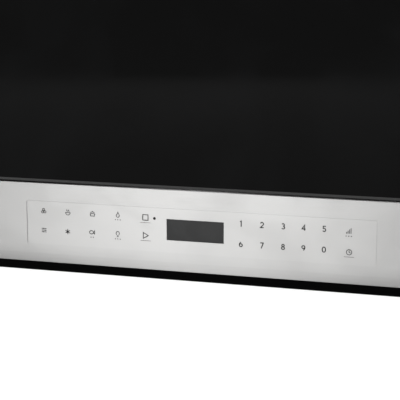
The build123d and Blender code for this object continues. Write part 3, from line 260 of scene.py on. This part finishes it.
finish("circuit_board", spangle, 500, (0.015, 0.09, 0.03), (0.03, 0.16, 0.06), (0.3, 0.45), 20)

# Finishes of single nodes, the print and the screws
upright_steel = finish("upright_steel", grain, 2600, grey(0.40, WARM), grey(0.47, WARM), (0.24, 0.36), 4,
                       ALONG_Z, metallic=1.0, anisotropic=0.5)
# Painted shadow: black darker than any paint, for the bottom trim in the fascia's shade and for the
# cavity's holes
painted_shadow_black = finish("painted_shadow_black", grain, 900, grey(0.0006), grey(0.0012), (0.7, 0.85), 30,
                      specular_ior_level=0.02)
front_enamel = finish("front_enamel", peel, 700, grey(0.085), grey(0.105), (0.3, 0.42), 60)
punched_steel = finish("punched_steel", holes, 450, grey(0.055), grey(0.003), (0.5, 0.65), 0,
                       specular_ior_level=0.2)
filter_core = finish("filter_core", grain, 1500, grey(0.10, COOL), grey(0.16, COOL), (0.4, 0.55), 20,
                     metallic=0.7)
ink = finish("grey_ink", grain, 3000, grey(0.016), grey(0.030), (0.4, 0.55), 0)
red_ink = finish("red_ink", grain, 3000, (0.50, 0.25, 0.24), (0.58, 0.32, 0.30), (0.4, 0.55), 0)
# Painted highlight: a light finish for the line along the overlay film's left edge
painted_edge_highlight = finish("painted_edge_highlight", grain, 3000, grey(0.80, WARM), grey(0.88, WARM), (0.36, 0.46), 0)
zinc = finish("zinc_screw", grain, 1500, grey(0.42, WARM), grey(0.58, WARM), (0.3, 0.45), 10, metallic=1.0)
black_screw = finish("black_screw", grain, 1500, grey(0.012), grey(0.025), (0.35, 0.5), 10)

# Nodes whose finish differs from their slot's
# The bottom trim is black paint with the shade under the fascia painted into it
SPECIAL = {"bottom_trim": painted_shadow_black, "door_handle": upright_steel, "handle_posts": upright_steel,
           "door_screen": punched_steel, "cavity_front_plate": front_enamel,
           "grease_filter_left": filter_core, "grease_filter_right": filter_core}

for row in frame["record"]["subparts"]:
    mesh = nodes[row["node"]].data
    mesh.materials.clear()
    mesh.materials.append(SPECIAL.get(row["node"], finishes[row["material_slot"]]))

# ---------------------------------------------------------------- studio

WHITE = (1.0, 1.0, 1.0, 1.0)
FLOOR_SIZE = 60.0
FLOOR_GAP = 0.2 * MM
FLOOR_PAINT = (0.66, 0.66, 0.66, 1.0)
FLOOR_ROUGHNESS = 0.9

# Strength straight or through glass, in a reflection, and as light
FLOOR_GLOW = (0.5, 0.38, 0.0)
WORLD_GLOW = (1.0, 0.55, 0.6)

# Place, point that it faces, width and height in metres, and power in watts of each lamp
SOFTBOXES = {
    "front_softbox": ((-0.56, -2.1, 0.75), (0.0, -0.17, 0.1), (0.95, 0.7), 25),
    "right_softbox": ((2.4, -1.2, 1.6), (0.0, 0.0, 0.2), (1.4, 1.4), 30),
    "top_softbox": ((0.0, 0.4, 2.6), (0.0, 0.0, 0.3), (2.4, 1.8), 34),
    "back_softbox": ((-2.0, 2.2, 1.5), (0.0, 0.2, 0.2), (1.2, 1.2), 22),
}

CAMERA_PLACE = (0.33116, -1.29836, 0.32165)
VIEW_TURN = radians(16.066)
VIEW_DROP = radians(11.356)
LENS = 108.0


def seen_strength(tree, shown, reflected, cast):
    """Strength as seen straight or through glass, as seen in a reflection, and as light."""
    path = node(tree, "LightPath").outputs
    unscattered = math(tree, "LESS_THAN", path["Diffuse Depth"], 0.5)
    through = math(tree, "MULTIPLY", path["Is Transmission Ray"], unscattered)
    straight = math(tree, "MAXIMUM", path["Is Camera Ray"], through)
    mirrored = math(tree, "MULTIPLY", path["Is Glossy Ray"], reflected - cast)
    total = math(tree, "ADD", math(tree, "MULTIPLY", straight, shown - cast), mirrored)
    return math(tree, "ADD", total, cast)


def make_floor():
    """Plain pale floor that shows white, keeps the oven's shadow, and is clear from below."""
    bpy.ops.mesh.primitive_plane_add(size=FLOOR_SIZE, location=(0.0, 0.0, -FLOOR_GAP))
    floor = bpy.context.object
    floor.name = "studio_floor"
    material = bpy.data.materials.new("studio_floor")
    material.use_nodes = True
    tree = material.node_tree
    shade = tree.nodes["Principled BSDF"]
    shade.inputs["Base Color"].default_value = FLOOR_PAINT
    shade.inputs["Roughness"].default_value = FLOOR_ROUGHNESS
    shade.inputs["Specular IOR Level"].default_value = 0.0
    shade.inputs["Emission Color"].default_value = WHITE
    tree.links.new(seen_strength(tree, *FLOOR_GLOW), shade.inputs["Emission Strength"])
    clear = node(tree, "BsdfTransparent").outputs[0]
    side = node(tree, "NewGeometry").outputs["Backfacing"]
    sided = node(tree, "MixShader", {0: side, 1: shade.outputs[0], 2: clear}).outputs[0]
    tree.links.new(sided, tree.nodes["Material Output"].inputs["Surface"])
    floor.data.materials.append(material)


def make_world():
    """White behind the oven, and softer grey as light on it."""
    world = bpy.data.worlds.new("studio")
    scene.world = world
    world.use_nodes = True
    tree = world.node_tree
    background = tree.nodes["Background"].inputs
    tree.links.new(seen_strength(tree, *WORLD_GLOW), background["Strength"])
    background["Color"].default_value = WHITE


def softbox(name, place, target, size, power):
    """Rectangular lamp that faces its target."""
    lamp = bpy.data.lights.new(name, "AREA")
    lamp.shape = "RECTANGLE"
    lamp.size, lamp.size_y = size
    lamp.energy = power
    made = bpy.data.objects.new(name, lamp)
    made.location = place
    made.rotation_euler = (Vector(target) - Vector(place)).to_track_quat("-Z", "Y").to_euler()
    scene.collection.objects.link(made)


def make_camera():
    """The photograph's view: from the right, a little above, onto the lower middle of the front."""
    lens = bpy.data.cameras.new("camera")
    lens.lens = LENS
    camera = bpy.data.objects.new("camera", lens)
    camera.location = CAMERA_PLACE
    camera.rotation_euler = (pi / 2 - VIEW_DROP, 0.0, VIEW_TURN)
    scene.collection.objects.link(camera)
    scene.camera = camera


make_floor()
make_world()
for lamp_name, lamp_values in SOFTBOXES.items():
    softbox(lamp_name, *lamp_values)
make_camera()
scene.view_settings.view_transform = "Standard"

# ---------------------------------------------------------------- printed digits and marks

PRINT_LIFT = 0.03 * MM
PRINT_THICKNESS = 0.02 * MM
DIGIT_HEIGHT = 6.0 * MM

# Widths of the strokes, in heights of the digit or sign
DIGIT_STROKE = 0.159
SIGN_STROKE = 0.115

# A filled dot is a ring whose stroke reaches its middle
DOT_RING = 0.27
DOT_STROKE = 0.46

# Strokes whose ends are this near are closed, and a corner is never drawn sharper than this
TOUCHING = 1e-6
SHARPEST = 0.35


def arc(x, z, rx, rz, start, end, steps=14):
    """Points on an ellipse between two angles in degrees."""
    turn = [radians(start + (end - start) * i / steps) for i in range(steps + 1)]
    return [(x + rx * cos(a), z + rz * sin(a)) for a in turn]


# Strokes of each digit in a box one unit high, with its width
DIGITS = {
    "0": (0.68, [arc(0.34, 0.5, 0.27, 0.435, 0, 360)]),
    "1": (0.36, [[(0.02, 0.80), (0.22, 0.94), (0.22, 0.0)]]),
    "2": (0.62, [arc(0.30, 0.68, 0.25, 0.255, 165, -35) + [(0.06, 0.065), (0.60, 0.065)]]),
    "3": (0.62, [arc(0.29, 0.725, 0.21, 0.21, 150, -90) + arc(0.29, 0.29, 0.26, 0.225, 90, -150)]),
    "4": (0.68, [[(0.50, 0.0), (0.50, 0.93), (0.06, 0.27), (0.66, 0.27)]]),
    "5": (0.62, [[(0.56, 0.935), (0.15, 0.935), (0.12, 0.56)] + arc(0.29, 0.32, 0.26, 0.255, 118, -150)]),
    "6": (0.66, [arc(0.33, 0.31, 0.25, 0.245, 0, 360), arc(0.64, 0.34, 0.56, 0.60, 122, 180)]),
    "7": (0.60, [[(0.02, 0.935), (0.54, 0.935), (0.20, 0.0)]]),
    "8": (0.64, [arc(0.32, 0.735, 0.20, 0.20, 0, 360), arc(0.32, 0.285, 0.25, 0.22, 0, 360)]),
    "9": (0.66, [arc(0.33, 0.69, 0.25, 0.245, 0, 360), arc(0.02, 0.66, 0.56, 0.60, -58, 0)]),
}


def circle(x, z, radius):
    """A whole circle, as one stroke."""
    return arc(x, z, radius, radius, 0, 360)


def spokes(x, z, radius, count, start=90):
    """Lines from one side of a circle to the other."""
    turns = [radians(start + 180 * i / count) for i in range(count)]
    return [[(x - radius * cos(a), z - radius * sin(a)), (x + radius * cos(a), z + radius * sin(a))]
            for a in turns]


# Strokes of each picture sign in a box one unit wide and high
SIGNS = {
    "puffs": [circle(0.28, 0.30, 0.20), circle(0.72, 0.34, 0.20), circle(0.48, 0.74, 0.20)],
    "hot_bowl": [arc(0.5, 0.46, 0.42, 0.42, 180, 360) + [(0.08, 0.46)],
                 arc(0.34, 0.72, 0.06, 0.08, -90, 90, 6) + arc(0.34, 0.88, 0.06, 0.08, 270, 90, 6),
                 arc(0.66, 0.72, 0.06, 0.08, -90, 90, 6) + arc(0.66, 0.88, 0.06, 0.08, 270, 90, 6)],
    "pot": [[(0.14, 0.56), (0.14, 0.14), (0.86, 0.14), (0.86, 0.56), (0.14, 0.56)],
            [(0.0, 0.46), (0.14, 0.46)], [(0.86, 0.46), (1.0, 0.46)],
            arc(0.5, 0.70, 0.34, 0.16, 180, 0, 10), [(0.42, 0.94), (0.58, 0.94)]],
    "flame": [arc(0.5, 0.34, 0.28, 0.28, 160, 380)
              + [(0.66, 0.66), (0.52, 0.96), (0.44, 0.70), (0.24, 0.43)]],
    "stop": [[(0.1, 0.1), (0.9, 0.1), (0.9, 0.9), (0.1, 0.9), (0.1, 0.1)]],
    "sliders": [[(0.04, 0.2), (0.96, 0.2)], [(0.04, 0.5), (0.96, 0.5)], [(0.04, 0.8), (0.96, 0.8)],
                circle(0.3, 0.2, 0.05), circle(0.7, 0.5, 0.05), circle(0.4, 0.8, 0.05)],
    "frost": spokes(0.5, 0.5, 0.48, 3) + spokes(0.5, 0.5, 0.2, 3, 60),
    "fish": [arc(0.4, 0.5, 0.36, 0.30, 25, 335, 18) + [(0.98, 0.82), (0.98, 0.18), (0.72, 0.62)]],
    "bulb": [arc(0.5, 0.62, 0.3, 0.32, -55, 235, 18), [(0.33, 0.2), (0.67, 0.2)],
             [(0.38, 0.05), (0.62, 0.05)]],
    "go": [[(0.16, 0.06), (0.92, 0.5), (0.16, 0.94), (0.16, 0.06)]],
    "bars": [[(0.14, 0.05), (0.14, 0.32)], [(0.38, 0.05), (0.38, 0.54)], [(0.62, 0.05), (0.62, 0.76)],
             [(0.86, 0.05), (0.86, 0.96)]],
    "clock": [arc(0.5, 0.5, 0.44, 0.44, 0, 360, 24), [(0.5, 0.82), (0.5, 0.5), (0.74, 0.38)]],
}


def ribbon(mesh, points, width, place):
    """Adds a flat band along a line of points. place turns each point into one on the panel."""
    closed = (Vector(points[0]) - Vector(points[-1])).length < TOUCHING
    line = [Vector(p) for p in (points[:-1] if closed else points)]
    count = len(line)
    sides = []
    for i, point in enumerate(line):
        before = line[i - 1] if i > 0 or closed else None
        after = line[(i + 1) % count] if i < count - 1 or closed else None
        ahead = (after - point).normalized() if after is not None else (point - before).normalized()
        behind = (point - before).normalized() if before is not None else ahead
        middle = (ahead + behind).normalized()
        across = Vector((-middle.y, middle.x))
        reach = width / 2 / max(middle.dot(ahead), SHARPEST)
        sides.append([mesh.verts.new(place(point + across * side * reach)) for side in (1, -1)])
    for i in range(count if closed else count - 1):
        (a, b), (c, d) = sides[i], sides[(i + 1) % count]
        mesh.faces.new((a, b, d, c))


def piece(name, mesh, material):
    """A finished mesh as an object that rides on the cabinet."""
    bmesh.ops.recalc_face_normals(mesh, faces=mesh.faces[:])
    data = bpy.data.meshes.new(name)
    mesh.to_mesh(data)
    mesh.free()
    data.materials.append(material)
    made = bpy.data.objects.new(name, data)
    scene.collection.objects.link(made)
    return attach(made, "cabinet")


def printed(name, drawings, material):
    """Thin print on the overlay. Each drawing is its strokes, their width, its corner and its height."""
    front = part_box("control_overlay")[0].y - PRINT_LIFT
    mesh = bmesh.new()
    for strokes, width, x, z, height in drawings:
        for stroke in strokes:
            ribbon(mesh, stroke, width, lambda p: (x + p.x * height, front, z + p.y * height))
    bmesh.ops.solidify(mesh, geom=mesh.faces[:], thickness=PRINT_THICKNESS)
    piece(name, mesh, material)


# The layout of the print is in millimetres, from the middle of the overlay
KEY_COLUMNS = (48.1, 69.6, 91.0, 111.4, 131.8)
KEY_ROWS = ((11.8, "12345"), (-9.0, "67890"))
SIGN_HEIGHT = 6.0
TALL_SIGN = 7.0

# Across, up, height and name of each picture sign, and the number of dots under it
KEY_SIGNS = (
    (-163.6, 12.6, SIGN_HEIGHT, "puffs", 0),
    (-136.6, 12.5, SIGN_HEIGHT, "hot_bowl", 0),
    (-109.4, 12.4, SIGN_HEIGHT, "pot", 0),
    (-81.8, 13.2, SIGN_HEIGHT, "flame", 3),
    (-52.0, 12.2, TALL_SIGN, "stop", 0),
    (-163.6, -8.0, SIGN_HEIGHT, "sliders", 0),
    (-137.2, -8.0, SIGN_HEIGHT, "frost", 0),
    (-110.2, -7.0, SIGN_HEIGHT, "fish", 2),
    (-82.1, -7.0, SIGN_HEIGHT, "bulb", 3),
    (-52.0, -6.6, TALL_SIGN, "go", 0),
    (155.9, 11.2, SIGN_HEIGHT, "bars", 3),
    (156.6, -10.0, SIGN_HEIGHT, "clock", 0),
)

# Across, up and length or size
RULES = ((-52.0, -12.0, 11.0), (156.6, -14.8, 10.0))
FAINT_RULE = (-52.0, 6.8, 11.0)
DOT = (-42.3, 11.7, 2.8)

LEVEL_DOT = 1.1
LEVEL_PITCH = 2.6
LEVEL_DROP = 5.2
RULE_WIDTH = 0.4
# Width and ends of the painted highlight along the film's left edge
EDGE_HIGHLIGHT_WIDTH = 0.45
EDGE_HIGHLIGHT_ENDS = (0.02, 0.98)


def panel_point(x, z):
    """A point on the overlay in metres, given in millimetres from its middle."""
    low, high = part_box("control_overlay")
    return (low.x + high.x) / 2 + x * MM, (low.z + high.z) / 2 + z * MM


def digit_keys():
    """Two rows of digits on the right of the display."""
    drawings = []
    for row_z, row in KEY_ROWS:
        for column, digit in zip(KEY_COLUMNS, row):
            width, strokes = DIGITS[digit]
            x, z = panel_point(column, row_z)
            corner = (x - width * DIGIT_HEIGHT / 2, z - DIGIT_HEIGHT / 2)
            drawings.append((strokes, DIGIT_STROKE, *corner, DIGIT_HEIGHT))
    printed("key_digits", drawings, ink)


def sign(x, z, height, name):
    """Drawing of one picture sign round its middle."""
    x, z = panel_point(x, z)
    height *= MM
    return SIGNS[name], SIGN_STROKE, x - height / 2, z - height / 2, height


def dot(x, z, size):
    """Drawing of a filled dot."""
    return [circle(0.0, 0.0, DOT_RING)], DOT_STROKE, *panel_point(x, z), size * MM


def rule(x, z, length):
    """Drawing of a thin level line."""
    return [[(-0.5, 0.0), (0.5, 0.0)]], RULE_WIDTH / length, *panel_point(x, z), length * MM


def key_signs():
    """Picture signs of the keys, with level dots, thin rules and one large dot."""
    drawings = [rule(*place) for place in RULES] + [dot(*DOT)]
    for x, z, height, name, levels in KEY_SIGNS:
        drawings.append(sign(x, z, height, name))
        drawings += [dot(x + (i - (levels - 1) / 2) * LEVEL_PITCH, z - LEVEL_DROP, LEVEL_DOT)
                     for i in range(levels)]
    printed("key_signs", drawings, ink)
    printed("faint_rule", [rule(*FAINT_RULE)], red_ink)


def film_edge_highlight():
    """Painted highlight: a light line printed along the overlay film's left end, standing in for the shine
    of its cut edge.
    """
    low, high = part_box("control_overlay")
    tall = high.z - low.z
    width = EDGE_HIGHLIGHT_WIDTH * MM
    stroke = [(0.0, end) for end in EDGE_HIGHLIGHT_ENDS]
    printed("film_edge_highlight", [([stroke], width / tall, low.x + width, low.z, tall)], painted_edge_highlight)


digit_keys()
key_signs()
film_edge_highlight()

# ---------------------------------------------------------------- small fasteners and fittings

# Rings of a domed head in parts of its radius and height, and its cross recess
HEAD_SIDES = 20
HEAD_RINGS = ((1.0, 0.0), (1.0, 0.3), (0.86, 0.72), (0.62, 1.0))
RECESS_ARM = 0.5
RECESS_WIDTH = 0.16
RECESS_DEPTH = 0.6


def cross_outline(arm, half):
    """Corners of a cross, from one arm round to the next."""
    corners = []
    for turn in range(4):
        a = turn * pi / 2
        for x, y in ((arm, -half), (arm, half), (half, half)):
            corners.append((x * cos(a) - y * sin(a), x * sin(a) + y * cos(a)))
    return corners


def add_screw_head(mesh, place, outward, radius, height):
    """Domed head with a cross recess, added to a mesh."""
    turned = Vector(outward).to_track_quat("Z", "Y").to_matrix().to_4x4()
    turned.translation = Vector(place)

    def ring(points, z):
        return [mesh.verts.new(turned @ Vector((x * radius, y * radius, z * height))) for x, y in points]

    turns = [2 * pi * i / HEAD_SIDES for i in range(HEAD_SIDES)]
    rings = [ring([(r * cos(a), r * sin(a)) for a in turns], z) for r, z in HEAD_RINGS]
    cross = cross_outline(RECESS_ARM, RECESS_WIDTH)
    mouth, floor = ring(cross, 1.0), ring(cross, 1.0 - RECESS_DEPTH)
    for low, high in [*zip(rings, rings[1:]), (floor, mouth)]:
        for i in range(len(low)):
            j = (i + 1) % len(low)
            mesh.faces.new((low[i], low[j], high[j], high[i]))
    mesh.faces.new(floor)
    mesh.faces.new(list(reversed(rings[0])))
    edges = [mesh.edges.get((loop[i - 1], loop[i]))
             for loop in (rings[-1], mouth) for i in range(len(loop))]
    bmesh.ops.triangle_fill(mesh, edges=edges, use_beauty=True)


# Radius and height of the heads
SHEET_SCREW = (3.6 * MM, 1.6 * MM)
BACK_SCREW = (3.4 * MM, 1.7 * MM)
LOW_HEAD = (3.4 * MM, 1.2 * MM)

BACK_SHEET = 1.0 * MM
BACK_SCREW_COLUMNS = (-300 * MM, -100 * MM, 100 * MM, 300 * MM)
BACK_SCREW_ROWS = (-105 * MM, 105 * MM)
COLLAR_FLANGE = 1.0 * MM
EDGE_INSET = 8 * MM
COLLAR_SCREW_INSET = 4 * EDGE_INSET
GRILLE_SCREW_COLUMNS = (-300 * MM, 0.0, 300 * MM)
HINGE_SCREW_OFFSET = 8 * MM

# Heights of the pairs of screws above each hinge plate's lower end
HINGE_SCREW_ROWS = {"upper_hinge": (10 * MM, 26 * MM), "lower_hinge": (10 * MM,)}


def heads(name, places, outward, material, size):
    """A group of alike heads on one face."""
    mesh = bmesh.new()
    for place in places:
        add_screw_head(mesh, place, outward, *size)
    piece(name, mesh, material)


def back_screws():
    """Two rows in the pressed beads of the back, where no head stands proud of the wall face."""
    low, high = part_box("back_plate")
    middle = (low.z + high.z) / 2
    places = [(x, low.y + BACK_SHEET, middle + z) for z in BACK_SCREW_ROWS for x in BACK_SCREW_COLUMNS]
    heads("back_screws", places, (0, 1, 0), zinc, BACK_SCREW)


def collar_screws():
    """Two rows of three on the exhaust collar's flange."""
    low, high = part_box("exhaust_collar")
    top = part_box("outer_case")[1].z + COLLAR_FLANGE
    columns = (low.x + COLLAR_SCREW_INSET, 0.0, high.x - COLLAR_SCREW_INSET)
    places = [(x, y, top) for y in (low.y + EDGE_INSET, high.y - EDGE_INSET) for x in columns]
    heads("collar_screws", places, (0, 0, 1), zinc, SHEET_SCREW)


def grille_screws():
    """Three black heads along the top of the grille."""
    low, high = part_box("vent_grille")
    places = [(x, (low.y + high.y) / 2, high.z) for x in GRILLE_SCREW_COLUMNS]
    heads("grille_screws", places, (0, 0, 1), black_screw, SHEET_SCREW)


def hinge_screws():
    """Pairs beside both hinge plates, on the front plate."""
    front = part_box("cavity_front_plate")[0].y
    plate_low, plate_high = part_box("upper_hinge")
    middle = (plate_low.x + plate_high.x) / 2
    places = [(middle + side * HINGE_SCREW_OFFSET, front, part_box(hinge)[0].z + up)
              for hinge, rows in HINGE_SCREW_ROWS.items() for up in rows for side in (-1, 1)]
    heads("hinge_screws", places, (0, -1, 0), zinc, LOW_HEAD)


def cover_rivets():
    """White rivets at the two ends of the mica cover."""
    low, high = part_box("waveguide_cover")
    places = [(low.x, (low.y + high.y) / 2, z) for z in (low.z + EDGE_INSET, high.z - EDGE_INSET)]
    heads("cover_rivets", places, (-1, 0, 0), finishes["white_plastic"], LOW_HEAD)


def add_bar(mesh, start, end, width, thickness):
    """Flat bar between two points at the same height, added to a mesh."""
    ahead = (end - start).normalized()
    across = Vector((-ahead.y, ahead.x, 0.0)) * width / 2
    up = Vector((0.0, 0.0, thickness))
    low = [mesh.verts.new(p) for p in (start - across, end - across, end + across, start + across)]
    high = [mesh.verts.new(v.co + up) for v in low]
    mesh.faces.new(list(reversed(low)))
    mesh.faces.new(high)
    for i in range(4):
        j = (i + 1) % 4
        mesh.faces.new((low[i], low[j], high[j], high[i]))


# Expanded mesh of the grease filters, and their pull rings
MESH_PITCH = 6.0 * MM
MESH_WIRE = 1.0 * MM
MESH_SLOPE = 0.5
MESH_FRAME = 8.0 * MM
MESH_LIFT = 0.6 * MM
RING_WIRE = 0.4 * MM
RING_RADIUS = 9.0 * MM
RING_INSET = 16 * MM


def mesh_strands(low, high, slope):
    """Ends of parallel strands that cross a rectangle, where y rises by slope along x."""
    width, length = high.x - low.x, high.y - low.y
    rise = slope * width
    count = int((length + abs(rise)) / MESH_PITCH)
    for i in range(1, count):
        y = low.y + min(0.0, -rise) + i * MESH_PITCH
        ends = []
        for t in (0.0, 1.0):
            inside = min(max(y + rise * t, low.y), high.y)
            across = min(max((inside - y) / rise, 0.0), 1.0)
            ends.append(Vector((low.x + width * across, inside, 0.0)))
        if (ends[1] - ends[0]).length > MESH_PITCH / 2:
            yield ends


def filter_mesh(node_name):
    """Expanded aluminium in two crossed layers over a grease filter."""
    low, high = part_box(node_name)
    inside = Vector((MESH_FRAME, MESH_FRAME, 0.0))
    mesh = bmesh.new()
    for layer, slope in enumerate((MESH_SLOPE, -MESH_SLOPE)):
        level = Vector((0.0, 0.0, low.z + MESH_LIFT * (1 + layer)))
        for start, end in mesh_strands(low + inside, high - inside, slope):
            add_bar(mesh, start + level, end + level, MESH_WIRE, MESH_LIFT)
    piece(node_name + "_mesh", mesh, aluminium_mesh)


def pull_ring(node_name):
    """Wire ring at the front edge of a grease filter, which pulls it out."""
    low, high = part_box(node_name)
    middle = Vector(((low.x + high.x) / 2, low.y + RING_INSET, low.z - RING_WIRE))
    bpy.ops.mesh.primitive_torus_add(location=middle, major_radius=RING_RADIUS, minor_radius=RING_WIRE,
                                     major_segments=40, minor_segments=10)
    ring = bpy.context.object
    ring.name = node_name + "_ring"
    ring.data.materials.append(spring_steel)
    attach(ring, "cabinet")


# Holes in the cavity's side walls
HOLE_PITCH = 4.0 * MM
HOLE_RADIUS = 1.3 * MM
HOLE_SIDES = 12
HOLE_LIFT = 0.05 * MM
HOLE_THICKNESS = 0.04 * MM
LINER_SHEET = 1.0 * MM
LAMP_HOLES = (7, 7)
AIR_HOLES = (5, 16)
AIR_HOLES_BEHIND = 90 * MM
AIR_HOLES_BELOW = 40 * MM


def wall_holes(name, wall_x, facing, y, z, rows, columns):
    """Staggered round holes in a side wall of the cavity, round a middle, drawn as thin black discs of
    painted shade just off the wall.
    """
    mesh = bmesh.new()
    for row in range(rows):
        for column in range(columns):
            at = Vector((wall_x + facing * HOLE_LIFT,
                         y + (column - (columns - 1) / 2 + (row % 2) / 2) * HOLE_PITCH,
                         z + (row - (rows - 1) / 2) * HOLE_PITCH * sqrt(3) / 2))
            turns = [2 * pi * i / HOLE_SIDES for i in range(HOLE_SIDES)]
            mesh.faces.new([mesh.verts.new(at + Vector((0.0, HOLE_RADIUS * cos(a), HOLE_RADIUS * sin(a))))
                            for a in turns])
    bmesh.ops.solidify(mesh, geom=mesh.faces[:], thickness=HOLE_THICKNESS)
    piece(name, mesh, painted_shadow_black)


def cavity_holes():
    """The lamp shines in through holes on the right, and air leaves through holes on the left; both are
    discs of painted shade on the walls.
    """
    low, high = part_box("oven_cavity")
    lamp_low, lamp_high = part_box("cavity_lamp")
    wall_holes("lamp_holes", high.x - LINER_SHEET, -1, (lamp_low.y + lamp_high.y) / 2,
               (lamp_low.z + lamp_high.z) / 2, *LAMP_HOLES)
    wall_holes("air_holes", low.x + LINER_SHEET, 1, low.y + AIR_HOLES_BEHIND, high.z - AIR_HOLES_BELOW,
               *AIR_HOLES)


def pressed_spring():
    """The door's return spring, a copy of the imported one that rides on the door in its place."""
    spring = bpy.data.objects.new("latch_return_spring", nodes["latch_spring"].data.copy())
    scene.collection.objects.link(spring)
    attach(spring, "door")
    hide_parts("latch_spring")
    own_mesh(spring)


back_screws()
collar_screws()
grille_screws()
hinge_screws()
cover_rivets()
for filter_node in ("grease_filter_left", "grease_filter_right"):
    filter_mesh(filter_node)
    pull_ring(filter_node)
cavity_holes()
pressed_spring()
